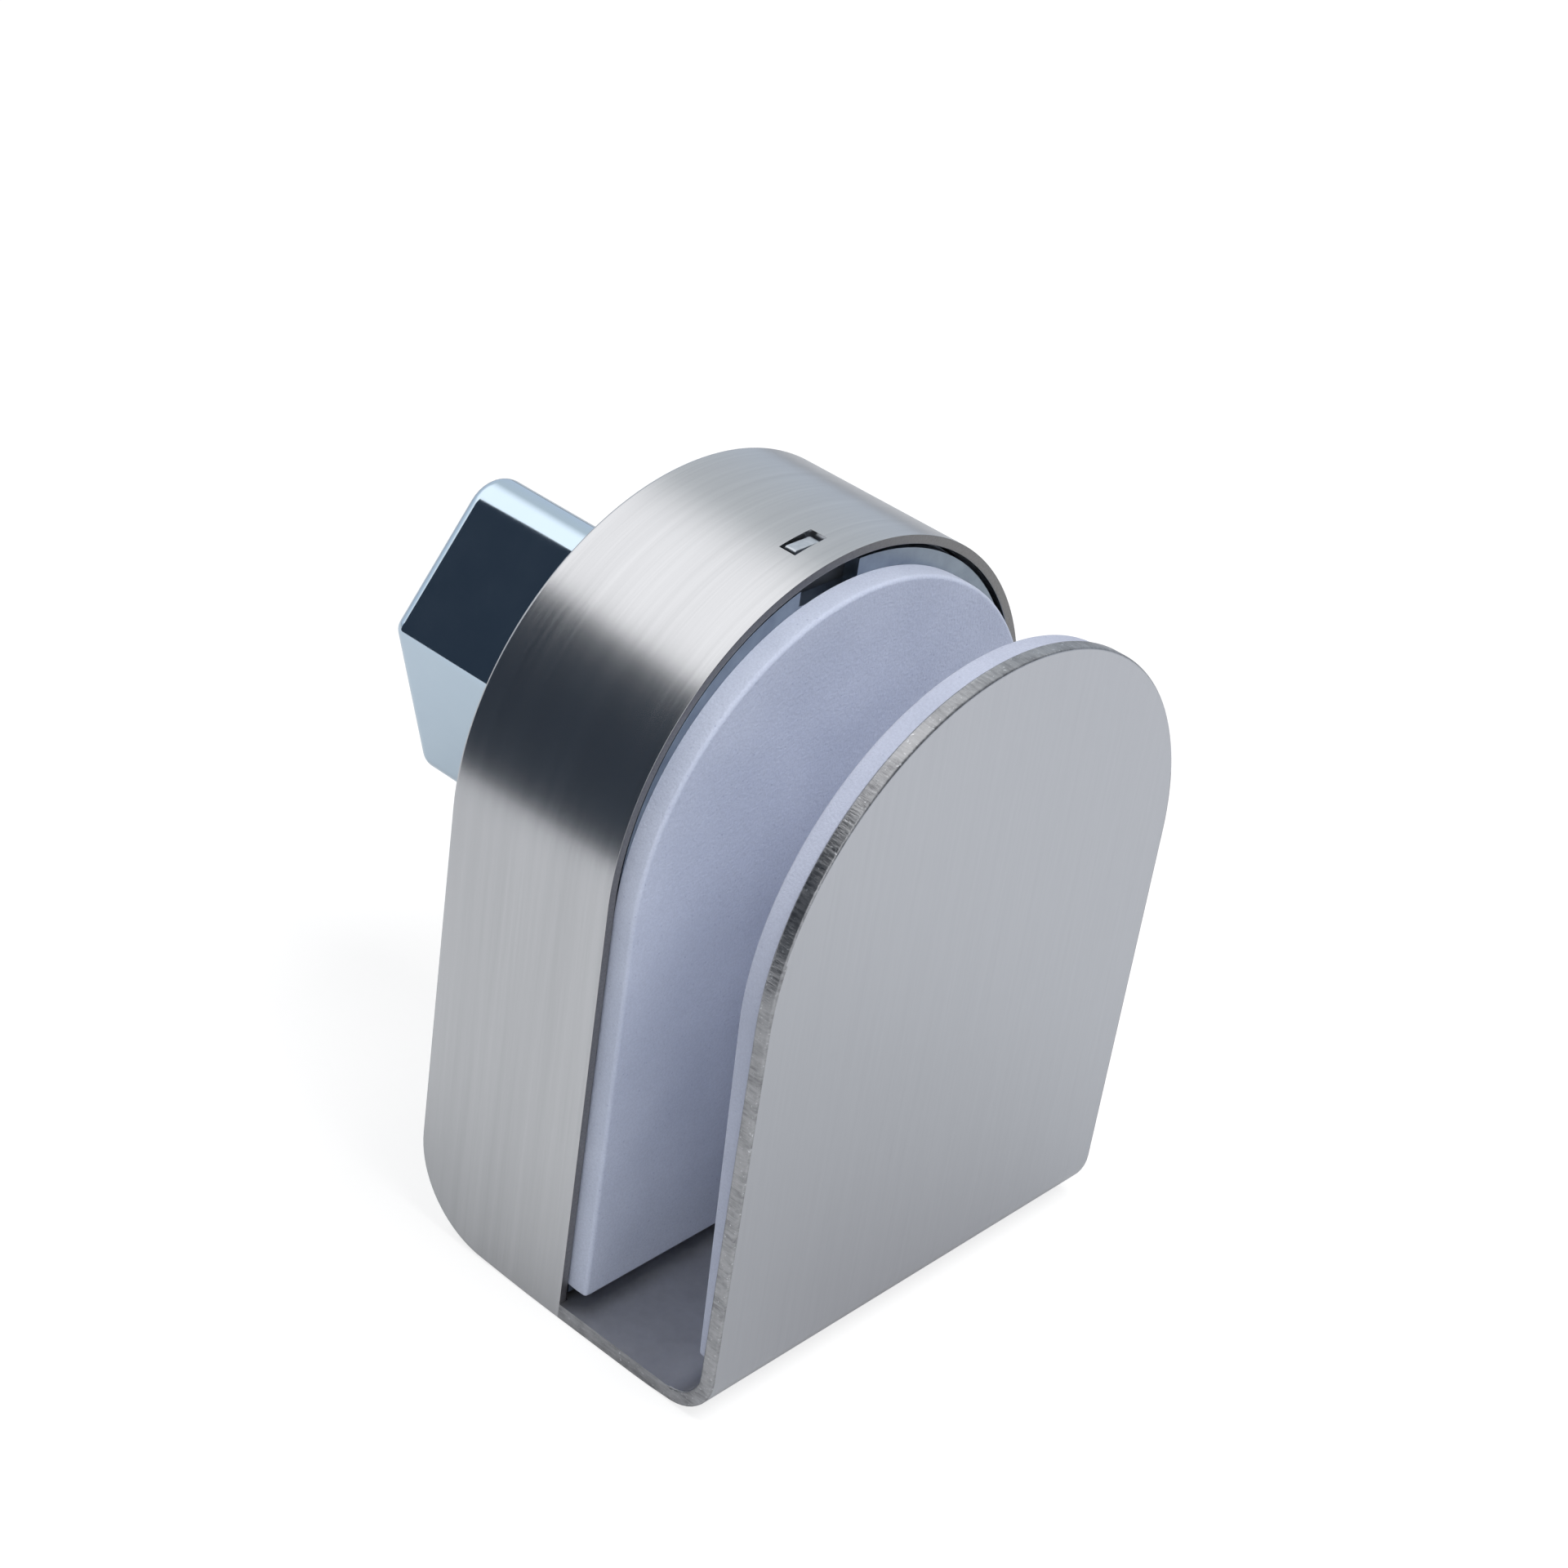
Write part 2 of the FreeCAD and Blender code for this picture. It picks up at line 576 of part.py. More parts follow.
members = []
nut_end = leg_back + S["nut_length"]
for i, (x, z) in enumerate(clamp_spots, start=1):
    members.append(turned_body("threaded_bush_%d" % i, [
        (leg_front, S["clamp_radius"] + S["run_play"]), (nut_end, S["clamp_radius"] + S["run_play"]),
        (nut_end, S["nut_radius"]), (leg_back + S["nut_flange_thick"], S["nut_radius"]),
        (leg_back + S["nut_flange_thick"], S["nut_flange"]), (leg_back, S["nut_flange"]),
        (leg_back, S["nut_radius"]), (leg_front, S["nut_radius"])], x, z))
done(group("threaded_bushes", members))

# Bolt guide: block with an upright bore and a sloped lower back edge that clears the cover
body = new_body("bolt_guide")
sketch = new_sketch(body, "guide_side", "YZ_Plane", zero)
guide_back = leg_back + S["guide_depth"]
path(sketch, [(leg_back, S["guide_foot"]), (guide_back - S["guide_slope_run"], S["guide_foot"]),
              (guide_back, S["guide_foot"] + S["guide_slope_rise"]), (guide_back, guide_top), (leg_back, guide_top)])
pad(body, sketch, S["guide_half"] * 2, midplane=True)
sketch = new_sketch(body, "guide_bore", "XY_Plane", guide_top)
ring(sketch, zero, bolt_y, S["bolt_radius"] + S["run_play"])
pocket(body, sketch, guide_height * 2)
sketch = new_sketch(body, "guide_threads", "XZ_Plane", leg_back)
for x, z in guide_screw_spots[:2]:
    ring(sketch, x, z, S["screw_radius"])
pocket(body, sketch, S["screw_length"] - S["plate_sheet"])
done(body)

# Rack guide: channel that backs the rack behind the pinion
body = new_body("rack_guide")
sketch = new_sketch(body, "keeper_section", "XY_Plane", keeper_low)
keeper_rear = leg_back + S["keeper_depth"]
path(sketch, [(keeper_outer_x, leg_back), (keeper_lip_x, leg_back), (keeper_lip_x, rack_front - S["slide_play"]),
              (keeper_inner_x, rack_front - S["slide_play"]), (keeper_inner_x, rack_rear + S["slide_play"]),
              (keeper_lip_x, rack_rear + S["slide_play"]), (keeper_lip_x, keeper_rear), (keeper_outer_x, keeper_rear)])
pad(body, sketch, S["keeper_tall"])
sketch = new_sketch(body, "keeper_threads", "XZ_Plane", leg_back)
for x, z in guide_screw_spots[2:]:
    ring(sketch, x, z, S["screw_radius"])
pocket(body, sketch, S["screw_length"] - S["plate_sheet"])
done(body)

members = []
for i, (x, z) in enumerate(guide_screw_spots, start=1):
    members.append(turned_body("guide_screw_%d" % i, [
        (leg_front, zero), (leg_front + S["screw_length"], zero), (leg_front + S["screw_length"], S["screw_radius"]),
        (leg_back, S["screw_radius"]), (leg_front, S["screw_head"])], x, z))
done(group("guide_screws", members))

# Pillars, bearing plate, its screws and the spindle bush
members = []
for i, (x, z) in enumerate(pillar_spots, start=1):
    drilled = bearing_back - S["plate_screw_length"]
    members.append(turned_body("pillar_%d" % i, [
        (leg_front, zero), (drilled, zero), (drilled, S["screw_radius"]), (bearing_front, S["screw_radius"]),
        (bearing_front, S["pillar_radius"]), (leg_back, S["pillar_radius"]), (leg_back, S["rivet_radius"]),
        (leg_front, S["rivet_radius"])], x, z))
done(group("pillars", members))

body = new_body("bearing_plate")
sketch = new_sketch(body, "bearing_outline", "XZ_Plane", bearing_front)
wide = S["pillar_side"]
brim = S["bearing_rim"]
low = pillar_low
high = pillar_high
path(sketch, [(-wide, low - brim), (wide, low - brim, wide, low, brim, 1), (wide + brim, low),
              (wide + brim, high, wide, high, brim, 1), (wide, high + brim),
              (-wide, high + brim, -wide, high, brim, 1), (-wide - brim, high), (-wide - brim, low, -wide, low, brim, 1)])
pad(body, sketch, S["bearing_sheet"], reverse=True)
sketch = new_sketch(body, "bearing_holes", "XZ_Plane", bearing_front)
bush_radius = S["spindle_radius"] + S["run_play"] + S["bush_wall"]
ring(sketch, zero, axis_z, bush_radius)
for x, z in pillar_spots:
    ring(sketch, x, z, S["screw_radius"])
pocket(body, sketch, S["bearing_sheet"])
done(body)

members = []
for i, (x, z) in enumerate(pillar_spots, start=1):
    tail = bearing_back - S["plate_screw_length"]
    head = bearing_back + S["head_height"]
    members.append(turned_body("plate_screw_%d" % i, [
        (tail, zero), (head, zero), (head, S["screw_head"] * 0.7), (head - S["head_height"] / 2, S["screw_head"]),
        (bearing_back, S["screw_head"]), (bearing_back, S["screw_radius"]), (tail, S["screw_radius"])], x, z))
done(group("plate_screws", members))

bore = S["spindle_radius"] + S["run_play"]
body = turned_body("spindle_bush", [
    (bearing_front, bore), (bearing_back, bore), (bearing_back, bush_radius), (bearing_front, bush_radius)], zero, axis_z)
done(body)

# Friction washer between cover and knob
body = turned_body("friction_washer", [
    (back, S["spindle_radius"] + S["hole_play"]), (washer_back, S["spindle_radius"] + S["hole_play"]),
    (washer_back, S["washer_radius"]), (back, S["washer_radius"])], zero, axis_z)
done(body)

# Spindle: front journal in the leg, seat of the pinion, bearing in the bush, end in the knob
nose_front = leg_front
nose_back = leg_back + S["hub_play"]
body = turned_body("spindle", [
    (nose_front, zero), (spindle_end, zero), (spindle_end, S["spindle_radius"]), (nose_back, S["spindle_radius"]),
    (nose_back, S["nose_radius"]), (nose_front, S["nose_radius"])], zero, axis_z)
done(body)

# Knob: five-sided cast shell, pointed upwards at rest, with a boss bored for the spindle
body = new_body("knob")
sketch = new_sketch(body, "knob_outline", "XZ_Plane", knob_front)
path(sketch, [(zero, axis_z + S["knob_tip"]), (-S["knob_half"], axis_z - S["knob_shoulder"]),
              (-S["knob_foot_half"], axis_z - S["knob_foot"]), (S["knob_foot_half"], axis_z - S["knob_foot"]),
              (S["knob_half"], axis_z - S["knob_shoulder"])])
raw = pad(body, sketch, S["knob_length"], reverse=True)
doc.recompute()


def long_edge(edge, x, z):
    box = edge.BoundBox
    return (box.YLength > S["knob_length"].number / 2 and abs(abs(box.Center.x) - x.number) < 0.01
            and abs(box.Center.z - z.number) < 0.01)


tip_rounded = round_edges(body, raw, S["knob_tip_round"], lambda edge: (
    long_edge(edge, zero, axis_z + S["knob_tip"])))
doc.recompute()
front_names = []
for i, face in enumerate(tip_rounded.Shape.Faces, start=1):
    if abs(face.BoundBox.YMax - knob_front.number) < 0.001:
        front_names.append("Face%d" % i)
knob_shell = body.newObject("PartDesign::Thickness", "knob_shell")
knob_shell.Base = (tip_rounded, front_names)
knob_shell.Reversed = True
knob_shell.Join = 1
bind(knob_shell, "Value", S["knob_wall"])
body.Tip = knob_shell
doc.recompute()
shouldered = round_edges(body, knob_shell, S["knob_shoulder_round"], lambda edge: (
    long_edge(edge, S["knob_half"], axis_z - S["knob_shoulder"])))
doc.recompute()
footed = round_edges(body, shouldered, S["knob_foot_round"], lambda edge: (
    long_edge(edge, S["knob_foot_half"], axis_z - S["knob_foot"])))
doc.recompute()
outer_rim = round_edges(body, footed, S["knob_rim"], lambda edge: (
    abs(edge.BoundBox.YMin - knob_back.number) < 0.001))
doc.recompute()
sketch = new_sketch(body, "knob_boss", "XZ_Plane", knob_front)
ring(sketch, zero, axis_z, S["knob_boss"])
pad(body, sketch, S["knob_length"] - S["knob_wall"] / 2, reverse=True)
sketch = new_sketch(body, "knob_bore", "XZ_Plane", knob_front)
ring(sketch, zero, axis_z, S["spindle_radius"])
pocket(body, sketch, S["knob_bore_depth"])
grub_y = knob_front + S["knob_bore_depth"] / 2
sketch = new_sketch(body, "grub_hole", "XY_Plane", axis_z - S["knob_foot"])
ring(sketch, zero, grub_y, S["grub_radius"])
pocket(body, sketch, S["knob_foot"] - S["spindle_radius"] * 0.9, reverse=True)
done(body)

# The grub screw lies below the spindle, square to it
grub = doc.addObject("Part::Cylinder", "knob_screw")
grub.Label = "knob_screw"
bind(grub, "Radius", S["grub_radius"])
bind(grub, "Height", S["grub_length"])
place(grub, zero, grub_y, axis_z - S["spindle_radius"] - S["grub_length"])
done(grub)

# Pinion: involute teeth by the base circle, hub towards the leg
module = S["gear_module"].number
teeth = int(round(S["gear_teeth"].number))
angle = math.radians(S["gear_angle"].number)
r_pitch = pitch_radius.number
r_base = r_pitch * math.cos(angle)
r_tip = r_pitch + module * 0.95
r_root = r_pitch - module * 1.2
half_tooth = (math.pi * module / 2 - S["gear_backlash"].number / 2) / (2 * r_pitch)
inv = math.tan(angle) - angle


def flank_angle(radius):
    # Half the tooth's angular width at a radius outside the base circle
    pressure = math.acos(min(1.0, r_base / radius))
    return half_tooth + inv - (math.tan(pressure) - pressure)


def polar(radius, turned):
    return FreeCAD.Vector(radius * math.cos(turned), 0, radius * math.sin(turned))


edges = []
r_start = max(r_base, r_root) * 1.0005
steps = [r_start + (r_tip - r_start) * k / 5.0 for k in range(6)]
tooth_step = 2 * math.pi / teeth
for k in range(teeth):
    middle = math.pi + k * tooth_step
    rising = [polar(r, middle - flank_angle(r)) for r in steps]
    falling = [polar(r, middle + flank_angle(r)) for r in reversed(steps)]
    curve = Part.BSplineCurve()
    curve.interpolate(rising)
    root_a = polar(r_root, middle - flank_angle(r_start))
    root_b = polar(r_root, middle + flank_angle(r_start))
    edges.append(Part.LineSegment(root_a, rising[0]).toShape())
    edges.append(curve.toShape())
    edges.append(Part.Arc(rising[-1], polar(r_tip, middle), falling[0]).toShape())
    curve = Part.BSplineCurve()
    curve.interpolate(falling)
    edges.append(curve.toShape())
    edges.append(Part.LineSegment(falling[-1], root_b).toShape())
    gap_start = middle + flank_angle(r_start)
    gap_end = middle + tooth_step - flank_angle(r_start)
    edges.append(Part.Arc(root_b, polar(r_root, (gap_start + gap_end) / 2), polar(r_root, gap_end)).toShape())
wire = Part.Wire(edges)
teeth_solid = Part.Face(wire).extrude(FreeCAD.Vector(0, S["gear_width"].number, 0))
teeth_solid.translate(FreeCAD.Vector(0, teeth_front.number, 0))
hub_length = teeth_front.number - nose_back.number
along = FreeCAD.Vector(0, 1, 0)
hub = Part.makeCylinder(S["hub_radius"].number, hub_length, FreeCAD.Vector(0, nose_back.number, 0), along)
eye = Part.makeCylinder(S["spindle_radius"].number, hub_length + S["gear_width"].number,
                        FreeCAD.Vector(0, nose_back.number, 0), along)
pinion = doc.addObject("Part::Feature", "pinion")
pinion.Label = "pinion"
pinion.Shape = teeth_solid.fuse(hub).cut(eye)
pinion.Placement = FreeCAD.Placement(FreeCAD.Vector(0, 0, axis_z.number), FreeCAD.Rotation())
done(pinion)

# Bolt: round bar with a chamfered tip and a flat for the rack
body = new_body("bolt")
sketch = new_sketch(body, "bolt_section", "XY_Plane", S["bolt_tip"])
ring(sketch, zero, bolt_y, S["bolt_radius"])
raw = pad(body, sketch, bolt_top - S["bolt_tip"])
doc.recompute()
names = []
for i, edge in enumerate(raw.Shape.Edges, start=1):
    if abs(edge.BoundBox.ZMax - S["bolt_tip"].number) < 0.001:
        names.append("Edge%d" % i)
chamfer = body.newObject("PartDesign::Chamfer", "bolt_chamfered")
chamfer.Base = (raw, names)
bind(chamfer, "Size", S["bolt_chamfer"])
body.Tip = chamfer
doc.recompute()
sketch = new_sketch(body, "bolt_seat", "XZ_Plane", bolt_y)
box_path(sketch, -S["bolt_radius"] * 2, -S["bolt_flat"], rack_foot, bolt_top + S["bolt_top_play"])
pocket(body, sketch, S["bolt_radius"] * 3, midplane=True)
sketch = new_sketch(body, "bolt_threads", "YZ_Plane", -S["bolt_flat"])
rack_screw_heights = [rack_foot + S["rack_screw_low"], rack_foot + S["rack_screw_low"] + S["rack_screw_step"]]
for height in rack_screw_heights:
    ring(sketch, bolt_y, height, S["rack_screw_radius"])
screw_reach = rack_back_x + S["rack_screw_length"]
pocket(body, sketch, screw_reach + S["bolt_flat"], reverse=True)
done(body)

# Rack: foot on the bolt's flat, toothed bar above it
body = new_body("rack")
sketch = new_sketch(body, "rack_bar", "XZ_Plane", rack_front)
path(sketch, [(rack_back_x, rack_foot), (-S["bolt_flat"], rack_foot), (-S["bolt_flat"], bolt_top),
              (rack_root_x, bolt_top), (rack_root_x, axis_z - S["rack_spare"] - S["gear_module"]),
              (rack_tip_x, axis_z - S["rack_spare"] - S["gear_module"]), (rack_tip_x, rack_top), (rack_back_x, rack_top)])
pad(body, sketch, S["rack_thick"], reverse=True)
pitch = S["gear_module"] * math.pi
slope = tangent_of(S["gear_angle"])
gap_half = pitch / 4 + S["gear_backlash"] / 4
narrow = gap_half - slope * S["gear_module"] * 1.2
reach = S["gear_module"] * 1.2
wide_gap = gap_half + slope * S["gear_module"] * 1.4
sketch = new_sketch(body, "rack_gap", "XZ_Plane", rack_front)
path(sketch, [(rack_pitch_x - reach, axis_z - narrow), (rack_pitch_x + S["gear_module"] * 1.4, axis_z - wide_gap),
              (rack_pitch_x + S["gear_module"] * 1.4, axis_z + wide_gap), (rack_pitch_x - reach, axis_z + narrow)])
gap = pocket(body, sketch, S["rack_thick"])
doc.recompute()
copies = body.newObject("PartDesign::LinearPattern", "rack_teeth")
copies.Originals = [gap]
copies.Direction = (sketch, ["V_Axis"])
copies.Mode = 1
bind(copies, "Offset", pitch)
gap_count = int(math.floor((throw.number + S["rack_spare"].number) / (module * math.pi))) + 1
copies.Occurrences = gap_count
body.Tip = copies
doc.recompute()
sketch = new_sketch(body, "rack_gap_below", "XZ_Plane", rack_front)
path(sketch, [(rack_pitch_x - reach, axis_z - pitch - narrow),
              (rack_pitch_x + S["gear_module"] * 1.4, axis_z - pitch - wide_gap),
              (rack_pitch_x + S["gear_module"] * 1.4, axis_z - pitch + wide_gap),
              (rack_pitch_x - reach, axis_z - pitch + narrow)])
pocket(body, sketch, S["rack_thick"])
sink_depth = S["rack_screw_head"] - S["rack_screw_radius"]
for i, height in enumerate(rack_screw_heights, start=1):
    sketch = new_sketch(body, "rack_screw_hole_%d" % i, "XY_Plane", height)
    path(sketch, [(rack_back_x, bolt_y), (-S["bolt_flat"], bolt_y), (-S["bolt_flat"], bolt_y + S["rack_screw_radius"]),
                  (rack_back_x + sink_depth, bolt_y + S["rack_screw_radius"]),
                  (rack_back_x, bolt_y + S["rack_screw_head"])])
    groove = body.newObject("PartDesign::Groove", "rack_screw_sink_%d" % i)
    groove.Profile = sketch
    line_name = "Edge1"
    groove.ReferenceAxis = (sketch, [line_name])
    groove.Angle = 360
    doc.recompute()
done(body)

members = []
for i, height in enumerate(rack_screw_heights, start=1):
    screw = new_body("rack_screw_%d" % i)
    sketch = new_sketch(screw, "rack_screw_profile_%d" % i, "XY_Plane", zero)
    path(sketch, [(rack_back_x, zero), (screw_reach, zero), (screw_reach, S["rack_screw_radius"]),
                  (rack_back_x + sink_depth, S["rack_screw_radius"]), (rack_back_x, S["rack_screw_head"])])
    turn(screw, sketch)
    place(screw, zero, bolt_y, height)
    members.append(screw)
done(group("rack_screws", members))

doc.recompute()

bad = []
for thing in doc.Objects:
    if "Invalid" in thing.State or "Error" in thing.State:
        bad.append("%s %s" % (thing.Name, thing.State))
for thing in finished:
    if thing.Shape.isNull() or not thing.Shape.isValid():
        bad.append("%s has no valid shape" % thing.Label)
if bad:
    raise RuntimeError("; ".join(bad))

os.makedirs("parts", exist_ok=True)
for thing in finished:
    thing.Shape.exportStep("parts/%s.step" % thing.Label)
    solids = len(thing.Shape.Solids)
    print("%-18s solids %d volume %.1f" % (thing.Label, solids, thing.Shape.Volume))
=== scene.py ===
import math

import bmesh
import bpy
from mathutils import Matrix, Vector


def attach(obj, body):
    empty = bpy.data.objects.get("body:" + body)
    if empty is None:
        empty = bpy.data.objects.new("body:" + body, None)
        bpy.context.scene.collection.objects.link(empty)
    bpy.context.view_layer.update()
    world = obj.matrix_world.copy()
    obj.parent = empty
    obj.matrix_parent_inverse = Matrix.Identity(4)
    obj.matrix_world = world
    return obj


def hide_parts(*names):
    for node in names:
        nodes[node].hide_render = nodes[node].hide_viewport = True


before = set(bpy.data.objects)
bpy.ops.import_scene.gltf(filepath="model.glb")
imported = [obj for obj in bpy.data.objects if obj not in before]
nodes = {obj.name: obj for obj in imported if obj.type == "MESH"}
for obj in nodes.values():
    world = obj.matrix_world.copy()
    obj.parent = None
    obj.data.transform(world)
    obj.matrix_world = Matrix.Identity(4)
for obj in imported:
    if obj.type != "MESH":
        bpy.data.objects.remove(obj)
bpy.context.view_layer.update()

MM = 0.001


def node_box(name):
    """Lowest and highest corner of a CAD piece, in millimetres."""
    thing = nodes[name]
    corners = [thing.matrix_world @ vertex.co / MM for vertex in thing.data.vertices]
    low = [round(min(corner[i] for corner in corners), 3) for i in range(3)]
    high = [round(max(corner[i] for corner in corners), 3) for i in range(3)]
    return low, high


# Sizes and places in millimetres, read from the frame
cover_low, cover_high = node_box("cover")
bracket_low, bracket_high = node_box("clamp_bracket")
knob_low, knob_high = node_box("knob")
bolt_low, bolt_high = node_box("bolt")
HALF = cover_high[0]
RIM = cover_low[1]
BACK = cover_high[1]
COVER_ARCH = cover_high[2] - HALF
PLATE_OUT = bracket_low[1]
LEG_BACK = bracket_high[1]
KNOB_START = knob_low[1]
KNOB_END = knob_high[1]
BOLT_PLACE = round((bolt_low[1] + bolt_high[1]) / 2, 3)

# Sizes that the boxes don't give, in millimetres
SHEET = 1.5
PLATE_IN = PLATE_OUT + SHEET
PLATE_ARCH = 42.0
LEG_FRONT = LEG_BACK - SHEET
LEG_PLAY = 0.2
BEND_IN = 3.5
BEND_OUT = BEND_IN + SHEET
LEG_BEND_IN = 1.5
LEG_BEND_OUT = LEG_BEND_IN + SHEET
SHEET_ROUNDING = 0.26
COVER_WALL = 0.9
COVER_CORNER = 9.0
LEG_HALF = HALF - COVER_WALL - LEG_PLAY
KNOB_AXIS = 46.0
NOSE_HOLE = 2.45
SPINDLE_HOLE = 3.8
BOLT_HOLE = 5.4
TAB_MIDDLE, TAB_HALF = -3.4, 1.6
TAB_LOW, TAB_TOP = 66.0, 69.6
TAB_FRONT, TAB_BACK = 11.6, 12.8
TAB_CORNER = (0.2, 0.1)
SLOT_PLAY = 0.3

# Distances within which two places count as the same, and how far cutting bodies run past what they cut
NEAR = 0.01
OVER = 2.0
FAR_OVER = 3.0


# Mesh helpers
def arch_outline(half, low, centre, arc_steps=96, foot=0.0, foot_steps=8):
    """Corner points (x, z) of an upright with a half-round top, anticlockwise, feet rounded by foot."""
    points = []
    if foot > 0:
        for k in range(foot_steps + 1):
            a = -math.pi / 2 + math.pi / 2 * k / foot_steps
            points.append((half - foot + foot * math.cos(a), low + foot + foot * math.sin(a)))
    else:
        points.append((half, low))
    for k in range(arc_steps + 1):
        a = math.pi * k / arc_steps
        points.append((half * math.cos(a), centre + half * math.sin(a)))
    if foot > 0:
        for k in range(foot_steps + 1):
            a = math.pi + math.pi / 2 * k / foot_steps
            points.append((-half + foot + foot * math.cos(a), low + foot + foot * math.sin(a)))
    else:
        points.append((-half, low))
    return points


def mesh_object(name, builder):
    mesh = bpy.data.meshes.new(name)
    bm = bmesh.new()
    builder(bm)
    bmesh.ops.remove_doubles(bm, verts=bm.verts, dist=1e-7)
    bmesh.ops.recalc_face_normals(bm, faces=bm.faces)
    bm.to_mesh(mesh)
    bm.free()
    made = bpy.data.objects.new(name, mesh)
    bpy.context.scene.collection.objects.link(made)
    return made


def prism_y(bm, outline, y0, y1):
    """Closed prism: an (x, z) outline carried from y0 to y1."""
    near = [bm.verts.new((x * MM, y0 * MM, z * MM)) for x, z in outline]
    far = [bm.verts.new((x * MM, y1 * MM, z * MM)) for x, z in outline]
    bm.faces.new(near)
    bm.faces.new(list(reversed(far)))
    count = len(outline)
    for i in range(count):
        j = (i + 1) % count
        bm.faces.new((near[j], near[i], far[i], far[j]))


def prism_x(bm, outline, x0, x1):
    """Closed prism: a (y, z) outline carried from x0 to x1."""
    near = [bm.verts.new((x0 * MM, y * MM, z * MM)) for y, z in outline]
    far = [bm.verts.new((x1 * MM, y * MM, z * MM)) for y, z in outline]
    bm.faces.new(near)
    bm.faces.new(list(reversed(far)))
    count = len(outline)
    for i in range(count):
        j = (i + 1) % count
        bm.faces.new((near[j], near[i], far[i], far[j]))


def rod_y(bm, x, z, radius, y0, y1, steps=40):
    """Closed round bar along Y."""
    prism_y(bm, [(x + radius * math.cos(k / steps * math.tau), z + radius * math.sin(k / steps * math.tau))
                 for k in range(steps)], y0, y1)


def join_rings(bm, rings):
    """Skin over rings of equal count, closed at both ends."""
    for near, far in zip(rings[:-1], rings[1:]):
        count = len(near)
        for i in range(count):
            j = (i + 1) % count
            bm.faces.new((near[i], near[j], far[j], far[i]))
    bm.faces.new(rings[0])
    bm.faces.new(rings[-1])


def arc_points(cy, cz, radius, start, end, steps):
    """Points on an arc in the (y, z) plane, angles in degrees."""
    out = []
    for k in range(steps + 1):
        a = math.radians(start + (end - start) * k / steps)
        out.append((cy + radius * math.cos(a), cz + radius * math.sin(a)))
    return out


def boolean(target, tool, kind):
    modifier = target.modifiers.new("cut", "BOOLEAN")
    modifier.operation = kind
    modifier.solver = "EXACT"
    modifier.object = tool
    bake(target)
    bpy.data.objects.remove(tool)


def bake(thing):
    """The object's modifiers become its plain mesh."""
    bpy.context.view_layer.update()
    seen = thing.evaluated_get(bpy.context.evaluated_depsgraph_get())
    mesh = bpy.data.meshes.new_from_object(seen)
    old = thing.data
    thing.modifiers.clear()
    thing.data = mesh
    bpy.data.meshes.remove(old)


def bevel_where(thing, wanted, width, segments=3):
    """Rounds the edges for which wanted(a, b) holds, a and b being their ends in millimetres."""
    bm = bmesh.new()
    bm.from_mesh(thing.data)
    bmesh.ops.remove_doubles(bm, verts=bm.verts, dist=2e-7)
    bmesh.ops.dissolve_degenerate(bm, edges=bm.edges, dist=1e-7)
    edges = [e for e in bm.edges
             if len(e.link_faces) == 2 and e.calc_face_angle(0.0) > math.radians(25)
             and wanted(e.verts[0].co / MM, e.verts[1].co / MM)]
    bmesh.ops.bevel(bm, geom=edges, offset=width * MM, segments=segments, profile=0.5,
                    affect="EDGES", clamp_overlap=True, offset_type="OFFSET")
    bm.to_mesh(thing.data)
    bm.free()


def soften(thing, angle=32.0):
    """Smooth shading with creases where the form has them."""
    mesh = thing.data
    for polygon in mesh.polygons:
        polygon.use_smooth = True
    mesh.set_sharp_from_angle(angle=math.radians(angle))
    modifier = thing.modifiers.new("even shading", "WEIGHTED_NORMAL")
    modifier.keep_sharp = True
    modifier.weight = 60
    bake(thing)


# Material helpers
PER_MM = (1000, 1000, 1000)


def new_group(name, inputs, outputs):
    group = bpy.data.node_groups.new(name, "ShaderNodeTree")
    for label, kind, value in inputs:
        socket = group.interface.new_socket(label, in_out="INPUT", socket_type=kind)
        if value is not None:
            socket.default_value = value
    for label, kind in outputs:
        group.interface.new_socket(label, in_out="OUTPUT", socket_type=kind)
    return group, group.nodes.new("NodeGroupInput"), group.nodes.new("NodeGroupOutput")


def node(tree, kind, **values):
    made = tree.nodes.new(kind)
    for key, value in values.items():
        setattr(made, key, value)
    return made


def mapped(tree, scale):
    coordinates = node(tree, "ShaderNodeTexCoord")
    mapping = node(tree, "ShaderNodeMapping")
    mapping.inputs["Scale"].default_value = scale
    tree.links.new(coordinates.outputs["Object"], mapping.inputs["Vector"])
    return mapping.outputs["Vector"]


def noise(tree, vector, scale, detail=4.0, roughness=0.6):
    made = node(tree, "ShaderNodeTexNoise")
    made.inputs["Scale"].default_value = scale
    made.inputs["Detail"].default_value = detail
    made.inputs["Roughness"].default_value = roughness
    tree.links.new(vector, made.inputs["Vector"])
    return made.outputs["Fac"]


def span(tree, value, low, high, out_low, out_high):
    made = node(tree, "ShaderNodeMapRange")
    made.inputs["From Min"].default_value = low
    made.inputs["From Max"].default_value = high
    made.inputs["To Min"].default_value = out_low
    made.inputs["To Max"].default_value = out_high
    tree.links.new(value, made.inputs["Value"])
    return made.outputs["Result"]


def mix(tree, factor, a, b):
    made = node(tree, "ShaderNodeMix", data_type="RGBA")
    tree.links.new(factor, made.inputs[0])
    for socket, value in ((made.inputs[6], a), (made.inputs[7], b)):
        if isinstance(value, tuple):
            socket.default_value = value
        else:
            tree.links.new(value, socket)
    return made.outputs[2]


def multiplied(tree, a, b):
    made = node(tree, "ShaderNodeMix", data_type="RGBA", blend_type="MULTIPLY")
    made.inputs[0].default_value = 1.0
    tree.links.new(a, made.inputs[6])
    tree.links.new(b, made.inputs[7])
    return made.outputs[2]


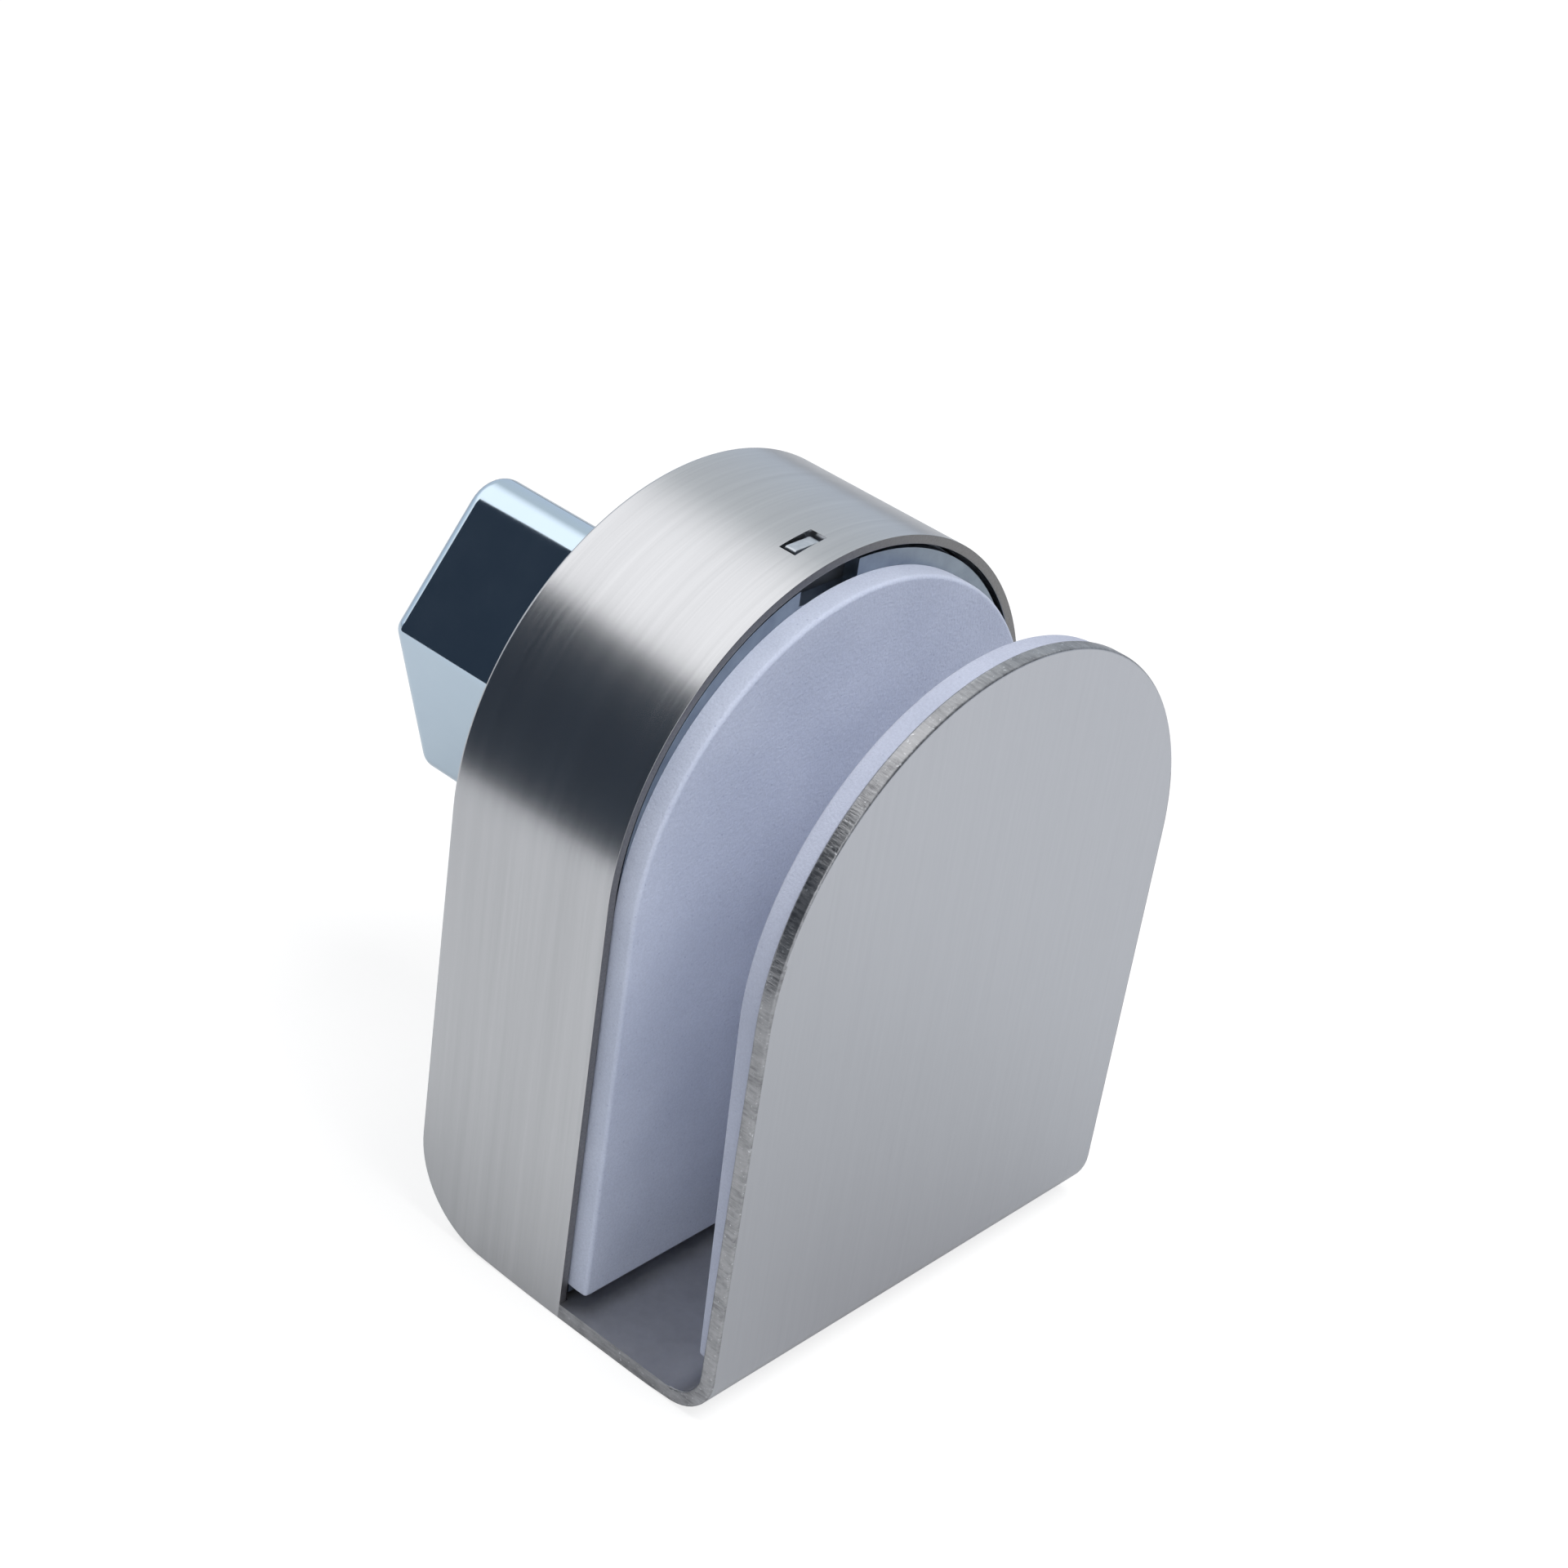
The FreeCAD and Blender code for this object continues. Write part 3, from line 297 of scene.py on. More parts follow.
def weighted_sum(tree, value, weight, added):
    made = node(tree, "ShaderNodeMath", operation="MULTIPLY_ADD")
    tree.links.new(value, made.inputs[0])
    made.inputs[1].default_value = weight
    tree.links.new(added, made.inputs[2])
    return made.outputs[0]


def cloudy_tone(tree, shader, cloud, dark, light):
    """Base colour that drifts between two tones."""
    drift = span(tree, cloud, 0.3, 0.7, 0.0, 1.0)
    tree.links.new(mix(tree, drift, (*dark, 1), (*light, 1)), shader.inputs["Base Color"])


def cloudy_gloss(tree, shader, cloud, low, high):
    tree.links.new(span(tree, cloud, 0.3, 0.7, low, high), shader.inputs["Roughness"])


def new_material(name, colour, metallic, roughness):
    material = bpy.data.materials.new(name)
    material.use_nodes = True
    tree = material.node_tree
    shader = tree.nodes["Principled BSDF"]
    shader.inputs["Base Color"].default_value = (*colour, 1)
    shader.inputs["Metallic"].default_value = metallic
    shader.inputs["Roughness"].default_value = roughness
    return material, tree, shader


def bump(tree, shader, height, strength, distance):
    made = node(tree, "ShaderNodeBump")
    made.inputs["Strength"].default_value = strength
    made.inputs["Distance"].default_value = distance
    tree.links.new(height, made.inputs["Height"])
    tree.links.new(made.outputs["Normal"], shader.inputs["Normal"])


# Brushing: fine streaks along one direction, with a slow drift in tone
def brushing_group():
    group, start, end = new_group("brushing", [
        ("Vector", "NodeSocketVector", None), ("Streaks", "NodeSocketFloat", 1.0)],
        [("Tone", "NodeSocketFloat"), ("Height", "NodeSocketFloat")])
    fine = node(group, "ShaderNodeTexNoise")
    fine.inputs["Scale"].default_value = 1.0
    fine.inputs["Detail"].default_value = 6.0
    fine.inputs["Roughness"].default_value = 0.65
    group.links.new(start.outputs["Vector"], fine.inputs["Vector"])
    wider = node(group, "ShaderNodeVectorMath", operation="SCALE")
    wider.inputs["Scale"].default_value = 0.23
    group.links.new(start.outputs["Vector"], wider.inputs[0])
    broad = node(group, "ShaderNodeTexNoise")
    broad.inputs["Scale"].default_value = 1.0
    broad.inputs["Detail"].default_value = 3.0
    group.links.new(wider.outputs["Vector"], broad.inputs["Vector"])
    added = node(group, "ShaderNodeMath", operation="MULTIPLY_ADD")
    group.links.new(fine.outputs["Fac"], added.inputs[0])
    group.links.new(start.outputs["Streaks"], added.inputs[1])
    group.links.new(broad.outputs["Fac"], added.inputs[2])
    group.links.new(added.outputs[0], end.inputs["Tone"])
    strokes = node(group, "ShaderNodeTexNoise")
    strokes.inputs["Scale"].default_value = 0.8
    strokes.inputs["Detail"].default_value = 1.0
    group.links.new(start.outputs["Vector"], strokes.inputs["Vector"])
    group.links.new(strokes.outputs["Fac"], end.inputs["Height"])
    return group


BRUSHING = brushing_group()


def brushed_steel(name, scale, dark, light, roughness, relief=0.08, uneven=0.03):
    """Stainless sheet whose streaks lie along the axis with the smallest scale."""
    material, tree, shader = new_material(name, light, 1.0, roughness)
    streaks = node(tree, "ShaderNodeGroup", node_tree=BRUSHING)
    streaks.inputs["Streaks"].default_value = 0.8
    tree.links.new(mapped(tree, scale), streaks.inputs["Vector"])
    tone = span(tree, streaks.outputs["Tone"], 0.65, 1.15, 0.0, 1.0)
    tree.links.new(mix(tree, tone, (*dark, 1), (*light, 1)), shader.inputs["Base Color"])
    rough = span(tree, streaks.outputs["Height"], 0.3, 0.7, roughness - uneven, roughness + uneven)
    tree.links.new(rough, shader.inputs["Roughness"])
    bump(tree, shader, streaks.outputs["Height"], relief, 0.00002)
    return material


def sheared_edge():
    """Edge of the sheet as the press leaves it: torn in fine strokes across it, with bright specks."""
    material, tree, shader = new_material("sheared_edge", (0.40, 0.40, 0.41), 1.0, 0.36)
    across = mapped(tree, (3600, 650, 3600))
    even = mapped(tree, PER_MM)
    strokes = noise(tree, across, 1.0, 4.0, 0.65)
    patches = noise(tree, even, 0.5, 4.0, 0.6)
    specks = noise(tree, even, 3.0, 3.0, 0.6)
    dark, grey = (0.26, 0.26, 0.27, 1), (0.43, 0.43, 0.44, 1)
    pale, white = (0.58, 0.58, 0.59, 1), (0.85, 0.86, 0.88, 1)
    base = mix(tree, span(tree, patches, 0.36, 0.64, 0.0, 1.0), dark, grey)
    marked = mix(tree, span(tree, strokes, 0.38, 0.66, 0.0, 0.7), base, pale)
    bright = mix(tree, span(tree, specks, 0.62, 0.72, 0.0, 0.8), marked, white)
    tree.links.new(bright, shader.inputs["Base Color"])
    tree.links.new(span(tree, strokes, 0.3, 0.7, 0.30, 0.46), shader.inputs["Roughness"])
    bump(tree, shader, weighted_sum(tree, patches, 1.2, strokes), 0.6, 0.00008)
    return material


def zinc_plate():
    material, tree, shader = new_material("zinc_plate", (0.42, 0.47, 0.52), 1.0, 0.36)
    cloud = noise(tree, mapped(tree, PER_MM), 0.35)
    cloudy_tone(tree, shader, cloud, (0.25, 0.295, 0.35), (0.375, 0.43, 0.485))
    cloudy_gloss(tree, shader, cloud, 0.28, 0.44)
    return material


def dull_zinc():
    """Plating inside the lock, never polished: hardly any gloss."""
    material, tree, shader = new_material("dull_zinc", (0.42, 0.47, 0.55), 0.25, 0.55)
    cloud = noise(tree, mapped(tree, PER_MM), 0.6)
    cloudy_tone(tree, shader, cloud, (0.38, 0.43, 0.51), (0.46, 0.51, 0.59))
    cloudy_gloss(tree, shader, cloud, 0.48, 0.62)
    return material


def foam(name, tone_dark, tone_light):
    """Closed-cell foam: lilac white, fine cells and a few open pores, darkened by painted shade."""
    material, tree, shader = new_material(name, tone_light, 0.0, 0.85)
    vector = mapped(tree, PER_MM)
    cells = node(tree, "ShaderNodeTexVoronoi", feature="SMOOTH_F1")
    cells.inputs["Scale"].default_value = 3.2
    tree.links.new(vector, cells.inputs["Vector"])
    grain = noise(tree, vector, 5.0, 3.0, 0.6)
    cloud = noise(tree, vector, 0.10, 2.0, 0.5)
    pores = node(tree, "ShaderNodeTexVoronoi", feature="F1")
    pores.inputs["Scale"].default_value = 1.1
    tree.links.new(vector, pores.inputs["Vector"])
    tone = mix(tree, span(tree, cloud, 0.35, 0.65, 0.0, 1.0), (*tone_dark, 1), (*tone_light, 1))
    fine = mix(tree, span(tree, grain, 0.35, 0.65, 0.0, 1.0), (0.93, 0.93, 0.94, 1), (1.03, 1.03, 1.03, 1))
    # Painted shade: the open pores are darkened in the colour
    open_pore = span(tree, pores.outputs["Distance"], 0.05, 0.13, 0.0, 1.0)
    painted_pore_shade = mix(tree, open_pore, (0.80, 0.81, 0.86, 1), (1, 1, 1, 1))
    tree.links.new(multiplied(tree, multiplied(tree, tone, fine), painted_pore_shade), shader.inputs["Base Color"])
    bump(tree, shader, weighted_sum(tree, cells.outputs["Distance"], 0.6, grain), 0.45, 0.00010)
    shader.inputs["Sheen Weight"].default_value = 0.15
    shader.inputs["Specular IOR Level"].default_value = 0.3
    return material


def plain_metal(name, dark, light, roughness, relief=0.2, scale=1.4):
    material, tree, shader = new_material(name, light, 1.0, roughness)
    cloud = noise(tree, mapped(tree, PER_MM), scale)
    cloudy_tone(tree, shader, cloud, dark, light)
    cloudy_gloss(tree, shader, cloud, roughness * 0.8, roughness * 1.25)
    bump(tree, shader, cloud, relief, 0.00002)
    return material


def chrome():
    # The blue of the base colour is a painted reflection of the pale blue room, on top of chrome's own cool
    # tone
    material, tree, shader = new_material("chrome", (0.63, 0.75, 0.85), 1.0, 0.06)
    haze = noise(tree, mapped(tree, PER_MM), 0.25, 3.0)
    cloudy_gloss(tree, shader, haze, 0.08, 0.13)
    tone = mix(tree, haze, (0.61, 0.73, 0.835, 1), (0.65, 0.77, 0.865, 1))
    tree.links.new(tone, shader.inputs["Base Color"])
    return material


PLATE_STEEL = brushed_steel("plate_steel", (6500, 6500, 160),
                            (0.615, 0.625, 0.655), (0.638, 0.648, 0.678), 0.34, 0.05)
WEB_STEEL = brushed_steel("web_steel", (900, 900, 900), (0.52, 0.51, 0.51), (0.60, 0.59, 0.59), 0.45)
COVER_STEEL = brushed_steel("cover_steel", (70, 4600, 70),
                            (0.61, 0.61, 0.62), (0.67, 0.67, 0.68), 0.25, 0.06, 0.012)
BACK_STEEL = brushed_steel("cover_back_steel", (5200, 90, 130),
                           (0.62, 0.63, 0.64), (0.70, 0.71, 0.72), 0.28)
EDGE = sheared_edge()
ZINC = zinc_plate()
DULL_ZINC = dull_zinc()
TAB_ZINC = plain_metal("tab_zinc", (0.62, 0.66, 0.70), (0.78, 0.81, 0.85), 0.34, 0.2, 2.0)
BACK_FOAM = foam("back_foam", (0.59, 0.64, 0.78), (0.65, 0.70, 0.84))
# The front pad's foam is the back pad's foam in darker tones: painted shade from the front plate
FRONT_FOAM_IN_PAINTED_SHADE = foam("front_foam", (0.46, 0.495, 0.61), (0.51, 0.545, 0.665))
CHROME = chrome()
# Dark tone of the rim's bare edge: painted shade of the gap in front of it
RIM_EDGE_PAINTED_SHADE = plain_metal("cover_rim_edge_painted_shade", (0.26, 0.25, 0.24), (0.38, 0.37, 0.36), 0.45, 0.3, 4.0)
STEEL = plain_metal("machined_steel", (0.40, 0.41, 0.42), (0.55, 0.56, 0.57), 0.32)
BRASS = plain_metal("brass", (0.55, 0.40, 0.16), (0.70, 0.54, 0.26), 0.30)


# Clamp bracket
def bracket_mesh(bm):
    # The sheet as a strip of cross rows: front plate foot, bend, web, rear bend
    steps = 12
    outer = [(PLATE_OUT, BEND_OUT)]
    outer += arc_points(PLATE_OUT + BEND_OUT, BEND_OUT, BEND_OUT, 180, 270, steps)[1:]
    inner = [(PLATE_IN, BEND_OUT)]
    inner += arc_points(PLATE_OUT + BEND_OUT, BEND_OUT, BEND_IN, 180, 270, steps)[1:]
    outer.append((RIM, 0.0))
    inner.append((RIM, SHEET))
    profile = outer + list(reversed(inner))
    prism_x(bm, profile, -HALF, HALF)
    prism_y(bm, arch_outline(HALF, BEND_OUT, PLATE_ARCH, 160), PLATE_OUT, PLATE_IN)
    rear = [(RIM, 0.0)]
    rear += arc_points(LEG_BACK - LEG_BEND_OUT, LEG_BEND_OUT, LEG_BEND_OUT, 270, 360, 8)
    rear += arc_points(LEG_BACK - LEG_BEND_OUT, LEG_BEND_OUT, LEG_BEND_IN, 360, 270, 8)
    rear.append((RIM, SHEET))
    prism_x(bm, rear, -LEG_HALF, LEG_HALF)


def drop_inner_faces(bm, test):
    gone = [f for f in bm.faces if test([v.co / MM for v in f.verts])]
    bmesh.ops.delete(bm, geom=gone, context="FACES")


def make_bracket():
    def between_plate_and_bend(corners):
        width = max(c.x for c in corners) - min(c.x for c in corners)
        return width > HALF and all(abs(c.z - BEND_OUT) < NEAR and c.y < PLATE_IN + NEAR for c in corners)

    def build(bm):
        bracket_mesh(bm)
        bmesh.ops.remove_doubles(bm, verts=bm.verts, dist=1e-7)
        # The front plate and its bend are one sheet: the two faces between them go
        drop_inner_faces(bm, between_plate_and_bend)
    thing = mesh_object("front_bracket", build)
    bevel_where(thing, lambda a, b: a.y < RIM - NEAR and b.y < RIM - NEAR, SHEET_ROUNDING)
    return thing


def dress(thing, materials, choose=None):
    """Gives the materials, and to each face the one whose number choose(centre, normal) returns."""
    for material in materials:
        thing.data.materials.append(material)
    if choose:
        for polygon in thing.data.polygons:
            polygon.material_index = choose(polygon.center / MM, polygon.normal)


def make_leg():
    thing = mesh_object("inner_leg", lambda bm: prism_y(
        bm, arch_outline(LEG_HALF, LEG_BEND_OUT, COVER_ARCH), LEG_FRONT, LEG_BACK))
    hole = mesh_object("hole", lambda bm: rod_y(
        bm, 0, KNOB_AXIS, NOSE_HOLE, LEG_FRONT - OVER, LEG_BACK + OVER, 24))
    boolean(thing, hole, "DIFFERENCE")
    return thing


def make_tab():
    across, down = TAB_CORNER
    right, left = TAB_MIDDLE + TAB_HALF, TAB_MIDDLE - TAB_HALF
    outline = [(right, TAB_LOW), (right, TAB_TOP - down), (right - across, TAB_TOP),
               (left + across, TAB_TOP), (left, TAB_TOP - down), (left, TAB_LOW)]
    thing = mesh_object("snap_tab", lambda bm: prism_y(bm, outline, TAB_FRONT, TAB_BACK))
    upper_end = TAB_TOP - 0.6
    bevel_where(thing, lambda a, b: a.z > upper_end and b.z > upper_end, 0.12, 2)
    return thing


bracket = make_bracket()
leg = make_leg()
tab = make_tab()
for thing in (bracket, leg, tab):
    soften(thing)


def bracket_face(centre, normal):
    """0 the plate, 1 the sheared edge all round, 2 the upper side of web and bend."""
    if abs(normal.x) > 0.25 or (centre.z > PLATE_ARCH and abs(normal.y) < 0.9 and centre.y < PLATE_IN + 0.1):
        return 1
    if centre.z < BEND_OUT + 0.1 and centre.y > PLATE_IN - 0.3 and normal.z > 0.05:
        return 2
    return 0


dress(bracket, (PLATE_STEEL, EDGE, WEB_STEEL), bracket_face)
dress(leg, (DULL_ZINC,))
dress(tab, (TAB_ZINC,))


# Cover
COVER_TOP = COVER_ARCH + HALF
COVER_EDGE = 0.7
RIM_ROUND_IN, RIM_ROUND_OUT = 0.18, 0.38
WEB_ROOM = 0.05
WEB_ROOM_BACK = 0.4


def side_profile(inset, front_y):
    """The cover seen from the side (y, z), open upwards, drawn in by inset."""
    back = BACK - inset
    low = inset
    radius = COVER_CORNER - inset
    top = COVER_TOP + FAR_OVER + OVER
    return ([(front_y, low)] + arc_points(back - radius, low + radius, radius, 270, 360, 20)
            + [(back, top), (front_y, top)])


def side_body(inset):
    return mesh_object("side", lambda bm: prism_x(
        bm, side_profile(inset, RIM - OVER), -HALF - OVER, HALF + OVER))


def cover_body(name, inset, low, front, steps):
    """The cover's outer form, or with an inset its hollow."""
    thing = mesh_object(name, lambda bm: prism_y(
        bm, arch_outline(HALF - inset, low, COVER_ARCH, steps), front, BACK + FAR_OVER))
    boolean(thing, side_body(inset), "INTERSECT")
    return thing


def is_back_edge(a, b):
    """Edges round the back face, and the sides of the round lower corner."""
    def on_arch_or_side(p):
        return (abs(p.y - BACK) < NEAR and p.z > COVER_CORNER - 2 * NEAR
                and (abs(p.x) > HALF - 0.1 or p.z > COVER_ARCH))

    def on_corner_side(p):
        return abs(abs(p.x) - HALF) < NEAR and p.z < COVER_CORNER + 2 * NEAR and p.y > RIM + NEAR
    return (on_arch_or_side(a) and on_arch_or_side(b)) or (on_corner_side(a) and on_corner_side(b))


def on_rim(a, b):
    return abs(a.y - RIM) < NEAR and abs(b.y - RIM) < NEAR


def is_outside(p):
    return (abs(p.x) > HALF - 0.05 or p.z < 0.05
            or (p.z > COVER_ARCH and math.hypot(p.x, p.z - COVER_ARCH) > HALF - 0.05))


def cut_openings(shell):
    inner_half = HALF - COVER_WALL
    web_top = COVER_WALL + WEB_ROOM
    web_room = [(inner_half, -1.0), (inner_half, web_top), (-inner_half, web_top), (-inner_half, -1.0)]
    slot_right, slot_left = TAB_MIDDLE + TAB_HALF + SLOT_PLAY, TAB_MIDDLE - TAB_HALF - SLOT_PLAY
    slot = [(slot_right, TAB_LOW), (slot_right, COVER_TOP + OVER),
            (slot_left, COVER_TOP + OVER), (slot_left, TAB_LOW)]

    def bolt_room(bm):
        bmesh.ops.create_cone(bm, cap_ends=True, segments=48, radius1=BOLT_HOLE * MM, radius2=BOLT_HOLE * MM,
                              depth=9 * MM, matrix=Matrix.Translation((0, BOLT_PLACE * MM, 0)))
    for name, builder in (
            ("web_room", lambda bm: prism_y(bm, web_room, RIM - 1, LEG_BACK + WEB_ROOM_BACK)),
            ("slot", lambda bm: prism_y(bm, slot, TAB_FRONT - SLOT_PLAY, TAB_BACK + SLOT_PLAY)),
            ("spindle_hole", lambda bm: rod_y(
                bm, 0, KNOB_AXIS, SPINDLE_HOLE, BACK - FAR_OVER, BACK + FAR_OVER)),
            ("bolt_room", bolt_room)):
        boolean(shell, mesh_object(name, builder), "DIFFERENCE")


def is_slot_edge(a, b):
    reach = SLOT_PLAY + 0.05
    left, right = TAB_MIDDLE - TAB_HALF - reach, TAB_MIDDLE + TAB_HALF + reach
    return (min(a.y, b.y) > TAB_FRONT - reach and max(a.y, b.y) < TAB_BACK + reach
            and min(a.x, b.x) > left and max(a.x, b.x) < right
            and min(a.z, b.z) > TAB_TOP - 0.2)


def make_cover():
    shell = cover_body("cover_shell", 0.0, -1.0, RIM, 160)
    bevel_where(shell, is_back_edge, COVER_EDGE, 4)
    boolean(shell, cover_body("inner", COVER_WALL, 0.0, RIM - 1, 128), "DIFFERENCE")
    cut_openings(shell)
    bevel_where(shell, lambda a, b: on_rim(a, b) and not (is_outside(a) and is_outside(b)), RIM_ROUND_IN, 2)
    bevel_where(shell, lambda a, b: on_rim(a, b) and is_outside(a) and is_outside(b), RIM_ROUND_OUT, 4)
    bevel_where(shell, is_slot_edge, 0.10, 2)
    soften(shell)
    return shell


def cover_face(centre, normal):
    """0 the wall round the sides, 1 the back, 2 the bare edge at the rim, whose dark tone is painted shade.
    """
    if normal.y < -0.75 and centre.y < RIM + 0.3:
        return 2
    return 1 if normal.y > 0.9 else 0


cover = make_cover()
dress(cover, (COVER_STEEL, BACK_STEEL, RIM_EDGE_PAINTED_SHADE), cover_face)


# Pads
def make_pad(name, foam_tone, half, low, centre, hidden_y, free_y, edge, drawn_in=0.0):
    """Die-cut foam from its glued face to its free face, whose rim is softly rounded by edge.

    drawn_in is how far the sides lean in between the arch and the foot.
    """
    foot_rounding = 0.35
    bulge = 0.02

    def loop(bm, y, inset):
        points = arch_outline(half - inset, low + inset, centre, 128, foot_rounding, 4)
        made = []
        for x, z in points:
            lean = max(0.0, (centre - z) / (centre - low)) * drawn_in
            made.append(bm.verts.new(((x - math.copysign(lean, x)) * MM, y * MM, z * MM)))
        return made

    def build(bm):
        depth = free_y - hidden_y
        steps = 5
        levels = [(hidden_y, 0.0), (hidden_y + depth * 0.45, -bulge)]
        for k in range(steps + 1):
            a = math.pi / 2 * k / steps
            levels.append((free_y - math.copysign(edge * (1 - math.sin(a)), depth), edge * (1 - math.cos(a))))
        join_rings(bm, [loop(bm, y, inset) for y, inset in levels])
    thing = mesh_object(name, build)
    soften(thing, 50)
    dress(thing, (foam_tone,))
    return thing


GLUE_GAP = 0.01
BACK_PAD_GLUED = 8.8
BACK_PAD_DROP = 1.8
front_pad = make_pad("front_foam", FRONT_FOAM_IN_PAINTED_SHADE, half=25.6, low=5.0, centre=PLATE_ARCH,
                     hidden_y=PLATE_IN + GLUE_GAP, free_y=-6.42, edge=0.3, drawn_in=1.5)
back_pad = make_pad("back_foam", BACK_FOAM, half=24.86, low=2.9, centre=COVER_ARCH - BACK_PAD_DROP,
                    hidden_y=BACK_PAD_GLUED - GLUE_GAP, free_y=6.52, edge=0.38)


# Knob
KNOB_RIM = 1.5
KNOB_WALL = 2.2
KNOB_BOSS = 5.6
KNOB_BORE, KNOB_BORE_DEPTH = 3.0, 16.0
SCREW_WAY = 2.0
SCREW_WAY_LENGTH, SCREW_WAY_CENTRE = 16.2, 10.8
# Corners from the spindle axis (x, z), and how far each is rounded
KNOB_CORNERS = [(0.0, 13.7, 3.7), (-11.1, -0.9, 1.6), (-5.9, -17.9, 2.5),
                (5.9, -17.9, 2.5), (11.1, -0.9, 1.6)]
HOLLOW_ROUNDINGS = (4.4, 3.2, 3.2, 3.2, 3.2)


def knob_outline(inset, roundings=None, steps=10):
    """The five-sided outline moved inwards by inset, its corners rounded."""
    count = len(KNOB_CORNERS)
    normals = []
    for i in range(count):
        a = Vector(KNOB_CORNERS[i][:2])
        b = Vector(KNOB_CORNERS[(i + 1) % count][:2])
        along = (b - a).normalized()
        normals.append((Vector((along.y, -along.x)), a))
    moved = []
    for i in range(count):
        n0, p0 = normals[i - 1]
        n1, p1 = normals[i]
        d0 = n0.dot(p0) - inset
        d1 = n1.dot(p1) - inset
        det = n0.x * n1.y - n0.y * n1.x
        moved.append((Vector(((d0 * n1.y - d1 * n0.y) / det, (n0.x * d1 - n1.x * d0) / det)), n0, n1))
    points = []
    for i in range(count):
        corner, n0, n1 = moved[i]
        radius = max((roundings[i] if roundings else KNOB_CORNERS[i][2]) - inset, 0.06)
        bisector = (n0 + n1).normalized()
        centre = corner - bisector * (radius / bisector.dot(n0))
        start = math.atan2(n0.y, n0.x)
        end = math.atan2(n1.y, n1.x)
        while end > start + math.pi:
            end -= math.tau
        while end < start - math.pi:
            end += math.tau
        for k in range(steps + 1):
            angle = start + (end - start) * k / steps
            points.append((centre.x + radius * math.cos(angle),
                           KNOB_AXIS + centre.y + radius * math.sin(angle)))
    return points


def make_knob():
    rim_steps = 8
    start_edge = 0.12

    def solid(bm):
        levels = [(KNOB_START, start_edge), (KNOB_START + start_edge, 0.0)]
        for k in range(rim_steps + 1):
            a = math.pi / 2 * k / rim_steps
            levels.append((KNOB_END - KNOB_RIM + KNOB_RIM * math.sin(a), KNOB_RIM * (1 - math.cos(a))))
        join_rings(bm, [[bm.verts.new((x * MM, y * MM, z * MM)) for x, z in knob_outline(inset)]
                        for y, inset in levels])

    def screw_way(bm):
        place = (0, (KNOB_START + KNOB_BORE_DEPTH / 2) * MM, (KNOB_AXIS - SCREW_WAY_CENTRE) * MM)
        bmesh.ops.create_cone(bm, cap_ends=True, segments=32, radius1=SCREW_WAY * MM, radius2=SCREW_WAY * MM,
                              depth=SCREW_WAY_LENGTH * MM, matrix=Matrix.Translation(place))
    thing = mesh_object("pointed_knob", solid)
    hollow = mesh_object("hollow", lambda bm: prism_y(
        bm, knob_outline(KNOB_WALL, HOLLOW_ROUNDINGS, 6), KNOB_START - OVER, KNOB_END - KNOB_WALL))
    boss = mesh_object("boss", lambda bm: rod_y(
        bm, 0, KNOB_AXIS, KNOB_BOSS, KNOB_START - OVER - FAR_OVER, KNOB_END + OVER))
    boolean(hollow, boss, "DIFFERENCE")
    boolean(thing, hollow, "DIFFERENCE")
    bore = mesh_object("bore", lambda bm: rod_y(
        bm, 0, KNOB_AXIS, KNOB_BORE, KNOB_START - OVER, KNOB_START + KNOB_BORE_DEPTH, 32))
    boolean(thing, bore, "DIFFERENCE")
    boolean(thing, mesh_object("screw_way", screw_way), "DIFFERENCE")
    soften(thing, 30)
    dress(thing, (CHROME,))
    return thing


knob = make_knob()

# How the pieces ride
for thing, body, node_name, slot_name in (
        (bracket, "lock", "clamp_bracket", "brushed_steel"), (leg, "lock", "clamp_bracket", "brushed_steel"),
        (tab, "lock", "clamp_bracket", "brushed_steel"), (cover, "lock", "cover", "brushed_steel"),
        (front_pad, "lock", "front_pad", "foam"), (back_pad, "clamp", "back_pad", "foam"),
        (knob, "turning", "knob", "chrome")):
    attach(thing, body)
    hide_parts(node_name)

# Materials of the pieces that are drawn as the frame has them
for material, names in (
        (ZINC, ("pressure_plate", "guide_studs", "bolt_guide", "rack_guide", "bearing_plate")),
        (BRASS, ("threaded_bushes", "spindle_bush")),
        (STEEL, ("clamp_screws", "guide_screws", "pillars", "plate_screws", "friction_washer", "spindle",
                 "knob_screw", "pinion", "bolt", "rack", "rack_screws"))):
    for name in names:
        for slot in nodes[name].material_slots:
            slot.material = material


# Stage, light and camera
def plane_piece(name, corners):
    mesh = bpy.data.meshes.new(name)
    mesh.from_pydata(corners, [], [(0, 1, 2, 3)])
    made = bpy.data.objects.new(name, mesh)
    bpy.context.scene.collection.objects.link(made)
    return made


